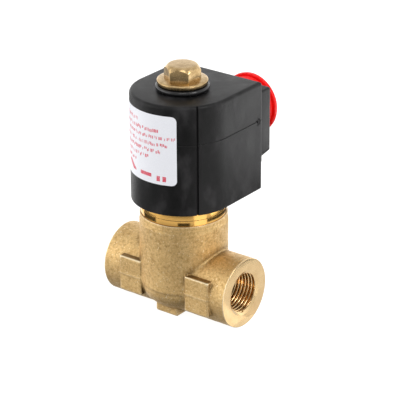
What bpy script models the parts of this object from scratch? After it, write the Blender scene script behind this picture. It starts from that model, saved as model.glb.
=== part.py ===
"""Two-way, normally closed, direct-acting solenoid valve with 3/8-18 NPT ports.

Frame: the origin is where the pipe axis (X) crosses the plunger axis (Z). +X is the outlet,
+Y is the conduit hub's side, +Z is up. Lengths below are millimetres, scaled once by MM.
"""

import math

import bmesh
import bpy
from mathutils import Matrix, Vector

MM = 0.001
GAP = 0.3                      # clearance kept between neighbouring pieces
MERGE = 0.0000005              # weld distance in metres
ROUND_STEPS = 40
SMALL_STEPS = 24
BONNET_STEPS = 48
SHARP_ANGLE = math.radians(32)

# Valve body
PORT_RADIUS = 13.36
PORT_HALF_LENGTH = 28.2
PORT_EDGE = 0.4
NECK_RADIUS = 16.5
NECK_CAP_HEIGHT = 12.4         # the forging's rounded underside, below the parting plane
RIM_RADIUS = 16.43
RIM_BOTTOM_Z = 23.5
RIM_TOP_Z = 26.6
PAD_FACE_Y = 13.9
PAD_INNER_X = 10.2
PAD_OUTLET_X = 21.6
PAD_INLET_X = -20.2
PAD_BOTTOM_Z = -7.0
PAD_TOP_Z = 7.2
FOOT_X = (-6.1, 4.1)
FOOT_HALF_Y = 9.8
FOOT_BOTTOM_Z = -13.4

# 3/8-18 NPT sockets, cut to the thread's crests
SOCKET_CHAMFER_RADIUS = 8.85
SOCKET_MOUTH_RADIUS = 7.62
SOCKET_DEPTH = 14.0
NPT_TAPER = 1 / 32             # radius lost per unit of length
PASSAGE_RADIUS = 3.8
OUTLET_PASSAGE_END_X = -2.4
INLET_PASSAGE_END_X = -5.9
INLET_RISER_X = -8.6
INLET_RISER_RADIUS = 2.0

# Chamber, seat and bonnet
CHAMBER_RADIUS = 11.0
CHAMBER_FLOOR_Z = 9.0
BONNET_BORE_RADIUS = 11.8
BONNET_BORE_FLOOR_Z = 18.0
SEAT_RADIUS = 5.0
SEAT_LIP_RADIUS = 3.4
SEAT_BORE_RADIUS = 2.4
SEAT_BOTTOM_Z = 4.6
SEAT_TOP_Z = 12.3
O_RING_RADIUS = 14.1
O_RING_SECTION = 0.75
BONNET_LOWER_RADIUS = 16.1
BONNET_UPPER_RADIUS = 15.85
BONNET_STEP_Z = 29.1
BONNET_TOP_Z = 31.9
PIN_HOLE_X = 13.0              # two blind holes in the top, for a pin spanner
PIN_HOLE_RADIUS = 1.2
PIN_HOLE_DEPTH = 2.0

# Guide tube, fixed core, plunger and spring
TUBE_OUTER = 6.75
TUBE_INNER = 6.35
TUBE_BOTTOM_Z = 18.6
TUBE_TOP_Z = 70.0
CORE_RADIUS = 6.05
CORE_FACE_Z = 50.0
CORE_CROWN_TOP_Z = 74.0
STUD_RADIUS = 3.2
STUD_TOP_Z = 81.6
SHADING_INNER = 3.9
SHADING_OUTER = 4.9
SHADING_HEIGHT = 1.5
PLUNGER_RADIUS = 6.0
PLUNGER_BOTTOM_Z = 14.6
PLUNGER_LIFT = 2.5
PLUNGER_TOP_Z = CORE_FACE_Z - GAP - PLUNGER_LIFT
PLUNGER_GROOVE = 1.8           # width of the two flow grooves along the plunger
SEAL_POCKET_DEPTH = 2.4
SPRING_POCKET_RADIUS = 3.0
SPRING_POCKET_FLOOR_Z = 35.0
SPRING_MEAN_RADIUS = 2.2
SPRING_WIRE = 0.35
SPRING_TURNS = 7
SEAL_RADIUS = 3.7

# Coil
HOUSING_RADIUS = 19.57
HOUSING_BACK_Y = 22.8
HOUSING_BOTTOM_Z = 32.2
HOUSING_TOP_Z = 74.8
HOUSING_EDGE = 1.2
HOUSING_BORE = 7.6
CAVITY_RADIUS = 16.2
CAVITY_Z = (35.7, 71.3)
GROOVE_ANGLE = math.radians(-37)
GROOVE_WIDTH = 0.9
GROOVE_DEPTH = 0.9
PLATE_OUTER = 15.9
PLATE_INNER = 7.4
PLATE_THICKNESS = 1.8
SLEEVE_INNER = 14.9
BOBBIN_FLANGE = 14.4
BOBBIN_BARREL = 8.4
BOBBIN_FLANGE_THICKNESS = 1.6
WINDING_RADIUS = 14.0
GASKET_RADIUS = 9.7
GASKET_TOP_Z = 33.4

# Conduit hub (1/2-14 NPT) with its terminals and shipping plug
HUB_AXIS_Z = 56.0
HUB_HALF_X = 18.9
HUB_FACE_Y = 29.0
HUB_Z = (39.5, 70.8)
HUB_CHAMFER = 3.6
HUB_SHOULDER_Z = 42.3
HUB_MOUTH_RADIUS = 10.3
HUB_FLOOR_Y = 18.0
HUB_TAPER = 0.08
TERMINAL_LINE_X = 4.5
TERMINAL_LINE_Z = 58.1
TERMINAL_EARTH_Z = 50.2
TERMINAL_WIDTH = 5.0
TERMINAL_THICKNESS = 0.8
TERMINAL_TIP_Y = 23.8
TERMINAL_LINE_TAIL_Y = 15.9
TERMINAL_EARTH_TAIL_Y = 16.2
BLOCK_RADIUS = 8.8
BLOCK_Y = (18.3, 20.5)
CAP_TIP_Y = 24.5
CAP_WALL = 1.2
CAP_MOUTH_RADIUS = 11.0
CAP_FLANGE_RADIUS = 12.05
CAP_FLANGE_Y = (41.5, 43.4)

# Label
LABEL_ANGLES = (math.radians(-165), math.radians(-59))
LABEL_Z = (44.3, 71.1)
LABEL_THICKNESS = 0.3

# Nut and its washer
WASHER_RADIUS = 10.0
WASHER_Z = (75.1, 76.8)
NUT_FLANGE_RADIUS = 9.4
NUT_FLANGE_Z = (77.1, 78.7)
NUT_SHOULDER_Z = 79.1
NUT_HEX_RADIUS = 6.93
NUT_HEX_ANGLE = math.radians(24.5)
NUT_CORNER_Z = 83.0
NUT_TOP_Z = 84.4
NUT_CROWN_RADIUS = 4.6
NUT_BORE = 3.6
NUT_BORE_TOP_Z = 82.0

PARTS = None
CUTTERS = None


# ---------------------------------------------------------------- scene and materials

def clear_scene():
    for obj in list(bpy.data.objects):
        bpy.data.objects.remove(obj, do_unlink=True)


def new_collection(name):
    collection = bpy.data.collections.new(name)
    bpy.context.scene.collection.children.link(collection)
    return collection


def material(name, color, roughness, metallic=0.0):
    mat = bpy.data.materials.new(name)
    mat.use_nodes = True
    shader = mat.node_tree.nodes["Principled BSDF"]
    shader.inputs["Base Color"].default_value = (*color, 1.0)
    shader.inputs["Roughness"].default_value = roughness
    shader.inputs["Metallic"].default_value = metallic
    mat.diffuse_color = (*color, 1.0)
    return mat


def add_object(name, mesh, collection=None):
    obj = bpy.data.objects.new(name, mesh)
    (collection or PARTS).objects.link(obj)
    return obj


def as_cutter(obj):
    for collection in list(obj.users_collection):
        collection.objects.unlink(obj)
    CUTTERS.objects.link(obj)
    obj.hide_render = True
    obj.display_type = "WIRE"
    return obj


def finish(obj, mat):
    obj.data.materials.clear()
    obj.data.materials.append(mat)
    obj.data.shade_smooth()
    obj.data.set_sharp_from_angle(angle=SHARP_ANGLE)
    return obj


def boolean(obj, other, operation="DIFFERENCE"):
    modifier = obj.modifiers.new(other.name, "BOOLEAN")
    modifier.operation = operation
    modifier.object = other
    modifier.solver = "EXACT"
    return obj


# ---------------------------------------------------------------- shape makers

def turned(name, profile, closed=True, steps=ROUND_STEPS, axis="Z", centre=(0, 0, 0)):
    """Turn (radius, height) points about an axis. The points run down the piece's outer side."""
    mesh = bpy.data.meshes.new(name)
    points = [Vector((r, 0, h)) * MM for r, h in profile]
    count = len(points)
    edges = [(i, i + 1) for i in range(count - 1)]
    if closed:
        edges.append((count - 1, 0))
    mesh.from_pydata(points, edges, [])
    obj = add_object(name, mesh)
    screw = obj.modifiers.new("turn", "SCREW")
    screw.axis = "Z"
    screw.steps = steps
    screw.render_steps = steps
    screw.use_merge_vertices = True
    screw.merge_threshold = MERGE
    turn = {
        "Z": Matrix.Identity(4),
        "X": Matrix.Rotation(math.radians(90), 4, "Y"),
        "-X": Matrix.Rotation(math.radians(-90), 4, "Y"),
        "Y": Matrix.Rotation(math.radians(-90), 4, "X"),
    }[axis]
    obj.matrix_world = Matrix.Translation(Vector(centre) * MM) @ turn
    return obj


def ring(name, inner, outer, low, high, edge=0.0, **options):
    """A plain washer or sleeve, with small chamfers when edge is given."""
    profile = [(outer, high - edge), (outer, low + edge), (outer - edge, low), (inner + edge, low),
               (inner, low + edge), (inner, high - edge), (inner + edge, high), (outer - edge, high)]
    if not edge:
        profile = [(outer, high), (outer, low), (inner, low), (inner, high)]
    return turned(name, profile, **options)


def disc(name, radius, low, high, **options):
    return turned(name, [(0, high), (radius, high), (radius, low), (0, low)], closed=False, **options)


def box(name, low, high):
    mesh = bpy.data.meshes.new(name)
    shape = bmesh.new()
    bmesh.ops.create_cube(shape, size=1.0)
    size = (Vector(high) - Vector(low)) * MM
    middle = (Vector(high) + Vector(low)) * MM / 2
    bmesh.ops.transform(shape, matrix=Matrix.Diagonal((*size, 1.0)), verts=shape.verts)
    shape.to_mesh(mesh)
    shape.free()
    obj = add_object(name, mesh)
    obj.location = middle
    return obj


def prism(name, outline, low, high, plane="XY"):
    """A flat outline thickened between two heights along the plane's normal."""
    curve = bpy.data.curves.new(name, "CURVE")
    curve.dimensions = "2D"
    curve.fill_mode = "BOTH"
    curve.extrude = (high - low) * MM / 2
    spline = curve.splines.new("POLY")
    spline.points.add(len(outline) - 1)
    for point, (u, v) in zip(spline.points, outline):
        point.co = (u * MM, v * MM, 0, 1)
    spline.use_cyclic_u = True
    guide = bpy.data.objects.new(name + "_outline", curve)
    PARTS.objects.link(guide)
    turn = Matrix.Identity(4) if plane == "XY" else Matrix.Rotation(math.radians(90), 4, "X")
    depth = (high + low) * MM / 2
    offset = Vector((0, 0, depth)) if plane == "XY" else Vector((0, depth, 0))
    guide.matrix_world = Matrix.Translation(offset) @ turn
    return curve_to_mesh(name, guide)


def curve_to_mesh(name, guide):
    """Replace a curve by a welded mesh object at the same place."""
    bpy.context.view_layer.update()
    evaluated = guide.evaluated_get(bpy.context.evaluated_depsgraph_get())
    mesh = bpy.data.meshes.new_from_object(evaluated)
    mesh.name = name
    shape = bmesh.new()
    shape.from_mesh(mesh)
    bmesh.ops.remove_doubles(shape, verts=shape.verts, dist=MERGE)
    bmesh.ops.recalc_face_normals(shape, faces=shape.faces)
    shape.to_mesh(mesh)
    shape.free()
    obj = add_object(name, mesh)
    obj.matrix_world = guide.matrix_world.copy()
    bpy.data.objects.remove(guide, do_unlink=True)
    return obj


def tube(name, points, radius):
    """A round wire along a list of points."""
    curve = bpy.data.curves.new(name, "CURVE")
    curve.dimensions = "3D"
    curve.bevel_depth = radius * MM
    curve.bevel_resolution = 2
    curve.use_fill_caps = True
    spline = curve.splines.new("POLY")
    spline.points.add(len(points) - 1)
    for point, place in zip(spline.points, points):
        point.co = (*(Vector(place) * MM), 1)
    guide = bpy.data.objects.new(name + "_path", curve)
    PARTS.objects.link(guide)
    return curve_to_mesh(name, guide)


def arc(radius, start, end, steps):
    angles = [start + (end - start) * i / steps for i in range(steps + 1)]
    return [(radius * math.cos(a), radius * math.sin(a)) for a in angles]


# ---------------------------------------------------------------- valve body

def port_barrel():
    length = PORT_HALF_LENGTH
    profile = [(0, length), (PORT_RADIUS - PORT_EDGE, length), (PORT_RADIUS, length - PORT_EDGE),
               (PORT_RADIUS, PORT_EDGE - length), (PORT_RADIUS - PORT_EDGE, -length), (0, -length)]
    return turned("valve_body", profile, closed=False, axis="X")


def neck():
    under = [(NECK_RADIUS * math.cos(a), -NECK_CAP_HEIGHT * math.sin(a))
             for a in (math.radians(15 * i) for i in range(6))]
    profile = [(0, RIM_TOP_Z), (RIM_RADIUS - 0.3, RIM_TOP_Z), (RIM_RADIUS, RIM_TOP_Z - 0.3),
               (RIM_RADIUS, RIM_BOTTOM_Z), (NECK_RADIUS, RIM_BOTTOM_Z - 0.2)]
    return turned("neck_shape", profile + under + [(0, -NECK_CAP_HEIGHT)], closed=False)


def port_cutter(name, side, passage_end):
    """A port's threaded socket with the drilled passage behind it."""
    mouth = PORT_HALF_LENGTH
    floor = mouth - SOCKET_DEPTH
    chamfer_end = mouth - (SOCKET_CHAMFER_RADIUS - SOCKET_MOUTH_RADIUS)
    floor_radius = SOCKET_MOUTH_RADIUS - (chamfer_end - floor) * NPT_TAPER
    profile = [(0, mouth + 1), (SOCKET_CHAMFER_RADIUS + 1, mouth + 1), (SOCKET_MOUTH_RADIUS, chamfer_end),
               (floor_radius, floor), (PASSAGE_RADIUS, floor), (PASSAGE_RADIUS, passage_end),
               (0, passage_end)]
    return as_cutter(turned(name, profile, closed=False, axis=side))


def chamber_cutter():
    """The stepped bore from the rim down to the outlet passage, with the seat's pocket."""
    pocket = SEAT_RADIUS + GAP
    throat = SEAT_BORE_RADIUS + 0.8
    return as_cutter(turned("chamber", [
        (0, RIM_TOP_Z + 1), (BONNET_BORE_RADIUS, RIM_TOP_Z + 1), (BONNET_BORE_RADIUS, BONNET_BORE_FLOOR_Z),
        (CHAMBER_RADIUS, BONNET_BORE_FLOOR_Z), (CHAMBER_RADIUS, CHAMBER_FLOOR_Z),
        (pocket, CHAMBER_FLOOR_Z), (pocket, SEAT_BOTTOM_Z - GAP), (throat, SEAT_BOTTOM_Z - GAP),
        (throat, 0), (0, 0)], closed=False))


def valve_body():
    body = port_barrel()
    boolean(body, as_cutter(neck()), "UNION")
    pads = {"outlet": (PAD_INNER_X, PAD_OUTLET_X), "inlet": (PAD_INLET_X, -PAD_INNER_X)}
    for name, (low_x, high_x) in pads.items():
        pad = box(name + "_pads", (low_x, -PAD_FACE_Y, PAD_BOTTOM_Z), (high_x, PAD_FACE_Y, PAD_TOP_Z))
        boolean(body, as_cutter(pad), "UNION")
    foot = box("foot", (FOOT_X[0], -FOOT_HALF_Y, FOOT_BOTTOM_Z), (FOOT_X[1], FOOT_HALF_Y, 0))
    boolean(body, as_cutter(foot), "UNION")
    boolean(body, port_cutter("outlet_port", "X", OUTLET_PASSAGE_END_X))
    boolean(body, port_cutter("inlet_port", "-X", -INLET_PASSAGE_END_X))
    boolean(body, chamber_cutter())
    riser = disc("inlet_riser", INLET_RISER_RADIUS, 0, CHAMBER_FLOOR_Z + 1, steps=24,
                 centre=(INLET_RISER_X, 0, 0))
    groove = ring("o_ring_groove", O_RING_RADIUS - O_RING_SECTION - 0.35,
                  O_RING_RADIUS + O_RING_SECTION + 0.35, RIM_TOP_Z - 1.7, RIM_TOP_Z + 1)
    for cutter in (riser, groove):
        boolean(body, as_cutter(cutter))
    return body


def orifice_seat():
    return turned("orifice_seat", [
        (SEAT_LIP_RADIUS, SEAT_TOP_Z), (SEAT_LIP_RADIUS, SEAT_TOP_Z - 1.5), (SEAT_RADIUS, SEAT_TOP_Z - 2.0),
        (SEAT_RADIUS, SEAT_BOTTOM_Z), (SEAT_BORE_RADIUS, SEAT_BOTTOM_Z), (SEAT_BORE_RADIUS, SEAT_TOP_Z)],
        steps=SMALL_STEPS)


def bonnet_o_ring():
    middle = RIM_TOP_Z - 0.85
    section = [(O_RING_RADIUS + O_RING_SECTION * math.cos(a), middle - O_RING_SECTION * math.sin(a))
               for a in (math.radians(60 * i) for i in range(6))]
    return turned("bonnet_o_ring", section)


def bonnet():
    seat_z = RIM_TOP_Z + GAP
    spigot = BONNET_BORE_RADIUS - GAP
    foot_z = BONNET_BORE_FLOOR_Z + GAP
    hole = TUBE_OUTER + GAP
    body = turned("bonnet", [
        (BONNET_UPPER_RADIUS - 0.2, BONNET_TOP_Z), (BONNET_UPPER_RADIUS, BONNET_TOP_Z - 0.2),
        (BONNET_UPPER_RADIUS, BONNET_STEP_Z + 0.1), (BONNET_LOWER_RADIUS, BONNET_STEP_Z - 0.1),
        (BONNET_LOWER_RADIUS, seat_z), (spigot, seat_z), (spigot, foot_z), (8.9, foot_z),
        (8.9, 20.1), (hole, 20.1), (hole, BONNET_TOP_Z)], steps=BONNET_STEPS)
    for x in (-PIN_HOLE_X, PIN_HOLE_X):
        pin_hole = disc("pin_hole", PIN_HOLE_RADIUS, BONNET_TOP_Z - PIN_HOLE_DEPTH, BONNET_TOP_Z + 1, steps=24,
                        centre=(x, 0, 0))
        boolean(body, as_cutter(pin_hole))
    return body


def guide_tube():
    return turned("guide_tube", [
        (TUBE_OUTER, TUBE_TOP_Z), (TUBE_OUTER, 19.8), (8.6, 19.8), (8.6, TUBE_BOTTOM_Z),
        (TUBE_INNER, TUBE_BOTTOM_Z), (TUBE_INNER, TUBE_TOP_Z)])


# ---------------------------------------------------------------- magnetic parts inside the tube

def fixed_core():
    groove_outer = SHADING_OUTER + GAP
    groove_inner = SHADING_INNER - GAP
    groove_top = CORE_FACE_Z + SHADING_HEIGHT + GAP
    return turned("fixed_core", [
        (0, STUD_TOP_Z), (STUD_RADIUS - 0.4, STUD_TOP_Z), (STUD_RADIUS, STUD_TOP_Z - 0.4),
        (STUD_RADIUS, CORE_CROWN_TOP_Z), (TUBE_OUTER, CORE_CROWN_TOP_Z), (TUBE_OUTER, TUBE_TOP_Z + GAP),
        (CORE_RADIUS, TUBE_TOP_Z + GAP), (CORE_RADIUS, CORE_FACE_Z), (groove_outer, CORE_FACE_Z),
        (groove_outer, groove_top), (groove_inner, groove_top), (groove_inner, CORE_FACE_Z),
        (0, CORE_FACE_Z)], closed=False, steps=SMALL_STEPS)


def shading_ring():
    return ring("shading_ring", SHADING_INNER, SHADING_OUTER, CORE_FACE_Z, CORE_FACE_Z + SHADING_HEIGHT,
                steps=SMALL_STEPS)


def plunger():
    pocket = SEAL_RADIUS + GAP
    body = turned("plunger", [
        (0, SPRING_POCKET_FLOOR_Z), (SPRING_POCKET_RADIUS, SPRING_POCKET_FLOOR_Z),
        (SPRING_POCKET_RADIUS, PLUNGER_TOP_Z), (PLUNGER_RADIUS - 0.4, PLUNGER_TOP_Z),
        (PLUNGER_RADIUS, PLUNGER_TOP_Z - 0.4), (PLUNGER_RADIUS, PLUNGER_BOTTOM_Z),
        (pocket, PLUNGER_BOTTOM_Z), (pocket, PLUNGER_BOTTOM_Z + SEAL_POCKET_DEPTH),
        (0, PLUNGER_BOTTOM_Z + SEAL_POCKET_DEPTH)], closed=False, steps=SMALL_STEPS)
    half = PLUNGER_GROOVE / 2
    for name, side in (("plunger_groove_a", -1), ("plunger_groove_b", 1)):
        middle = side * PLUNGER_RADIUS
        groove = box(name, (middle - half, -half, PLUNGER_BOTTOM_Z - 1), (middle + half, half, PLUNGER_TOP_Z + 1))
        boolean(body, as_cutter(groove))
    return body


def plunger_seal():
    top = PLUNGER_BOTTOM_Z + SEAL_POCKET_DEPTH - GAP
    return disc("plunger_seal", SEAL_RADIUS, SEAT_TOP_Z + GAP, top, steps=SMALL_STEPS)


def return_spring():
    low = SPRING_POCKET_FLOOR_Z + GAP + SPRING_WIRE
    high = CORE_FACE_Z - GAP - SPRING_WIRE
    per_turn = 12
    count = SPRING_TURNS * per_turn
    points = []
    for i in range(count + 1):
        angle = math.tau * i / per_turn
        share = min(max((i - per_turn) / (count - 2 * per_turn), 0.0), 1.0)
        dead_low = min(i / per_turn, 1.0) * 2.1 * SPRING_WIRE
        dead_high = max(i - count + per_turn, 0) / per_turn * 2.1 * SPRING_WIRE
        rise = high - low - 4.2 * SPRING_WIRE
        height = low + dead_low + share * rise + dead_high
        points.append((SPRING_MEAN_RADIUS * math.cos(angle), SPRING_MEAN_RADIUS * math.sin(angle), height))
    return tube("return_spring", points, SPRING_WIRE)


# ---------------------------------------------------------------- coil

def housing_outline():
    front = arc(HOUSING_RADIUS, math.pi, math.tau, 32)
    return front + [(HOUSING_RADIUS, HOUSING_BACK_Y), (-HOUSING_RADIUS, HOUSING_BACK_Y)]


def hub_outline():
    half = HUB_HALF_X
    foot = half - HUB_CHAMFER
    low, high = HUB_Z
    return [(-foot, low), (foot, low), (foot, HUB_SHOULDER_Z), (half, HUB_SHOULDER_Z + HUB_CHAMFER),
            (half, high), (-half, high), (-half, HUB_SHOULDER_Z + HUB_CHAMFER), (-foot, HUB_SHOULDER_Z)]


def round_rim(obj, height):
    """Round the edges of a prism that lie at one height."""
    shape = bmesh.new()
    shape.from_mesh(obj.data)
    weight = shape.edges.layers.float.new("bevel_weight_edge")
    rotation = obj.matrix_world
    for edge in shape.edges:
        flat = all(abs((rotation @ v.co).z - height * MM) < MERGE * 10 for v in edge.verts)
        if flat and len(edge.link_faces) == 2 and edge.calc_face_angle() > SHARP_ANGLE:
            edge[weight] = 1.0
    shape.to_mesh(obj.data)
    shape.free()
    bevel = obj.modifiers.new("rim", "BEVEL")
    bevel.limit_method = "WEIGHT"
    bevel.width = HOUSING_EDGE * MM
    bevel.segments = 2
    return obj


def label_outline(inner, outer, margin):
    start, end = LABEL_ANGLES
    start -= margin / HOUSING_RADIUS
    end += margin / HOUSING_RADIUS
    return arc(outer, start, end, 24) + arc(inner, end, start, 24)


def hub_bore_cutter():
    mouth = HUB_FACE_Y + 1
    mouth_radius = HUB_MOUTH_RADIUS + HUB_TAPER
    floor_radius = HUB_MOUTH_RADIUS - (HUB_FACE_Y - HUB_FLOOR_Y) * HUB_TAPER
    profile = [(0, mouth), (mouth_radius, mouth), (floor_radius, HUB_FLOOR_Y), (0, HUB_FLOOR_Y)]
    return turned("hub_bore", profile, closed=False, axis="Y", centre=(0, 0, HUB_AXIS_Z))


def coil_bore_cutter():
    """The bore for the guide tube, the coil's cavity and the gasket's recess in one turning."""
    low, high = CAVITY_Z
    recess = GASKET_RADIUS + GAP
    recess_top = GASKET_TOP_Z + GAP
    return turned("coil_bore", [
        (0, HOUSING_TOP_Z + 1), (HOUSING_BORE, HOUSING_TOP_Z + 1), (HOUSING_BORE, high),
        (CAVITY_RADIUS, high), (CAVITY_RADIUS, low), (HOUSING_BORE, low), (HOUSING_BORE, recess_top),
        (recess, recess_top), (recess, HOUSING_BOTTOM_Z - 1), (0, HOUSING_BOTTOM_Z - 1)], closed=False)


def terminal_boxes(grow, low_line, low_earth, high):
    """The boxes of the two line blades and the earth blade, grown on all four sides."""
    wide = TERMINAL_WIDTH / 2 + grow
    thin = TERMINAL_THICKNESS / 2 + grow
    boxes = {}
    for name, x in (("line_terminal_a", -TERMINAL_LINE_X), ("line_terminal_b", TERMINAL_LINE_X)):
        boxes[name] = ((x - thin, low_line, TERMINAL_LINE_Z - wide), (x + thin, high, TERMINAL_LINE_Z + wide))
    boxes["earth_terminal"] = ((-wide, low_earth, TERMINAL_EARTH_Z - thin),
                               (wide, high, TERMINAL_EARTH_Z + thin))
    return boxes


def coil_housing():
    body = round_rim(prism("coil_housing", housing_outline(), HOUSING_BOTTOM_Z, HOUSING_TOP_Z), HOUSING_TOP_Z)
    hub = prism("hub_block", hub_outline(), HOUSING_BACK_Y - 4, HUB_FACE_Y, plane="XZ")
    boolean(body, as_cutter(hub), "UNION")
    label = prism("label_recess", label_outline(HOUSING_RADIUS - LABEL_THICKNESS - GAP, HOUSING_RADIUS + 1, GAP),
                  LABEL_Z[0] - GAP, LABEL_Z[1] + GAP)
    groove = box("side_groove", (HOUSING_RADIUS - GROOVE_DEPTH, -GROOVE_WIDTH / 2, HOUSING_BOTTOM_Z - 1),
                 (HOUSING_RADIUS + 1, GROOVE_WIDTH / 2, HOUSING_TOP_Z + 1))
    groove.matrix_world = Matrix.Rotation(GROOVE_ANGLE, 4, "Z") @ Matrix.Translation(groove.location)
    for cutter in (coil_bore_cutter(), label, groove, hub_bore_cutter()):
        boolean(body, as_cutter(cutter))
    for name, corners in terminal_boxes(GAP, 13.0, 13.0, HUB_FLOOR_Y + 1).items():
        boolean(body, as_cutter(box(name + "_slot", *corners)))
    return body


def coil_bobbin():
    low = CAVITY_Z[0] + 2 * GAP + PLATE_THICKNESS
    high = CAVITY_Z[1] - 2 * GAP - PLATE_THICKNESS
    inner_low = low + BOBBIN_FLANGE_THICKNESS
    inner_high = high - BOBBIN_FLANGE_THICKNESS
    return turned("coil_bobbin", [
        (BOBBIN_FLANGE, high), (BOBBIN_FLANGE, inner_high), (BOBBIN_BARREL, inner_high),
        (BOBBIN_BARREL, inner_low), (BOBBIN_FLANGE, inner_low), (BOBBIN_FLANGE, low),
        (PLATE_INNER, low), (PLATE_INNER, high)])


def coil_winding():
    low = CAVITY_Z[0] + 3 * GAP + PLATE_THICKNESS + BOBBIN_FLANGE_THICKNESS
    high = CAVITY_Z[1] - 3 * GAP - PLATE_THICKNESS - BOBBIN_FLANGE_THICKNESS
    return ring("coil_winding", BOBBIN_BARREL + GAP, WINDING_RADIUS, low, high)


def flux_plates():
    low, high = CAVITY_Z
    lower = ring("lower_flux_plate", PLATE_INNER, PLATE_OUTER, low + GAP, low + GAP + PLATE_THICKNESS)
    upper = ring("upper_flux_plate", PLATE_INNER, PLATE_OUTER, high - GAP - PLATE_THICKNESS, high - GAP)
    return lower, upper


def flux_sleeve():
    low = CAVITY_Z[0] + 2 * GAP + PLATE_THICKNESS
    high = CAVITY_Z[1] - 2 * GAP - PLATE_THICKNESS
    sleeve = ring("flux_sleeve", SLEEVE_INNER, PLATE_OUTER, low, high)
    window = box("lead_window", (-7.5, 10, TERMINAL_LINE_Z - 5), (7.5, 20, TERMINAL_LINE_Z + 5))
    return boolean(sleeve, as_cutter(window))


def coil_leads():
    leads = []
    for name, side in (("coil_lead_a", -1), ("coil_lead_b", 1)):
        path = [(1.2, 14.45, 62.0), (2.4, 14.5, 61.2), (3.4, 14.5, 60.0), (4.2, 14.6, 59.0),
                (4.5, 14.95, 58.3), (4.5, 15.5, 58.1)]
        leads.append(tube(name, [(side * x, y, z) for x, y, z in path], 0.35))
    return leads


def coil_base_gasket():
    return ring("coil_base_gasket", HOUSING_BORE, GASKET_RADIUS, HOUSING_BOTTOM_Z, GASKET_TOP_Z, edge=0.2,
                steps=SMALL_STEPS)


def rating_label():
    outline = label_outline(HOUSING_RADIUS - LABEL_THICKNESS, HOUSING_RADIUS, 0)
    return prism("rating_label", outline, *LABEL_Z)


def terminals():
    boxes = terminal_boxes(0.0, TERMINAL_LINE_TAIL_Y, TERMINAL_EARTH_TAIL_Y, TERMINAL_TIP_Y)
    return [box(name, *corners) for name, corners in boxes.items()]


def terminal_block():
    block = disc("terminal_block", BLOCK_RADIUS, *BLOCK_Y, steps=SMALL_STEPS, axis="Y",
                 centre=(0, 0, HUB_AXIS_Z))
    for name, corners in terminal_boxes(GAP, BLOCK_Y[0] - 1, BLOCK_Y[0] - 1, BLOCK_Y[1] + 1).items():
        boolean(block, as_cutter(box(name + "_block_slot", *corners)))
    return block


# ---------------------------------------------------------------- plug, washer and nut

def conduit_cap():
    """A hollow tapered plug, open at its flange."""
    flange_low, flange_high = CAP_FLANGE_Y
    mouth = CAP_MOUTH_RADIUS
    tip = mouth - (flange_low - CAP_TIP_Y) * HUB_TAPER
    floor = CAP_TIP_Y + CAP_WALL
    floor_radius = mouth - CAP_WALL - (flange_high - floor) * HUB_TAPER
    return turned("conduit_cap", [
        (0, floor), (floor_radius, floor), (mouth - CAP_WALL, flange_high),
        (CAP_FLANGE_RADIUS, flange_high), (CAP_FLANGE_RADIUS, flange_low), (mouth, flange_low),
        (tip, CAP_TIP_Y), (0, CAP_TIP_Y)], closed=False, axis="Y", centre=(0, 0, HUB_AXIS_Z))


def top_seal_washer():
    return ring("top_seal_washer", 3.6, WASHER_RADIUS, *WASHER_Z, edge=0.4)


def hex_crown():
    """The hexagon, with its corners turned off at the top."""
    mesh = bpy.data.meshes.new("hex_shape")
    shape = bmesh.new()
    height = NUT_TOP_Z - NUT_SHOULDER_Z + 0.6
    bmesh.ops.create_cone(shape, cap_ends=True, segments=6, radius1=NUT_HEX_RADIUS * MM,
                          radius2=NUT_HEX_RADIUS * MM, depth=height * MM)
    shape.to_mesh(mesh)
    shape.free()
    hexagon = add_object("hex_shape", mesh)
    middle = NUT_TOP_Z - height / 2
    first_corner = math.radians(90)
    hexagon.matrix_world = (Matrix.Translation((0, 0, middle * MM))
                            @ Matrix.Rotation(NUT_HEX_ANGLE - first_corner, 4, "Z"))
    crown = turned("hex_crown", [
        (0, NUT_TOP_Z), (NUT_CROWN_RADIUS, NUT_TOP_Z), (5.9, NUT_TOP_Z - 0.55),
        (NUT_HEX_RADIUS + 0.02, NUT_CORNER_Z), (NUT_HEX_RADIUS + 0.02, NUT_SHOULDER_Z - 1),
        (0, NUT_SHOULDER_Z - 1)], closed=False)
    boolean(hexagon, as_cutter(crown), "INTERSECT")
    return hexagon


def coil_nut():
    low, high = NUT_FLANGE_Z
    nut = turned("coil_nut", [
        (0, NUT_SHOULDER_Z), (6.6, NUT_SHOULDER_Z), (NUT_FLANGE_RADIUS - 0.2, high),
        (NUT_FLANGE_RADIUS, high - 0.2), (NUT_FLANGE_RADIUS, low + 0.2), (NUT_FLANGE_RADIUS - 0.2, low),
        (0, low)], closed=False)
    boolean(nut, as_cutter(hex_crown()), "UNION")
    bore = disc("nut_bore", NUT_BORE, low - 1, NUT_BORE_TOP_Z, steps=24)
    return boolean(nut, as_cutter(bore))


# ---------------------------------------------------------------- assembly

def joint_empty(name, parent=None, height=0.0):
    """An empty on a joint's axis, which the pieces that it moves are parented to."""
    empty = bpy.data.objects.new(name, None)
    empty.empty_display_size = 0.01
    PARTS.objects.link(empty)
    empty.matrix_world = Matrix.Translation((0, 0, height * MM))
    if parent:
        hang(empty, parent)
    return empty


def hang(obj, parent):
    """Parent an object and keep it where it is."""
    bpy.context.view_layer.update()
    place = obj.matrix_world.copy()
    obj.parent = parent
    obj.matrix_parent_inverse = parent.matrix_world.inverted()
    obj.matrix_world = place


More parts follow.
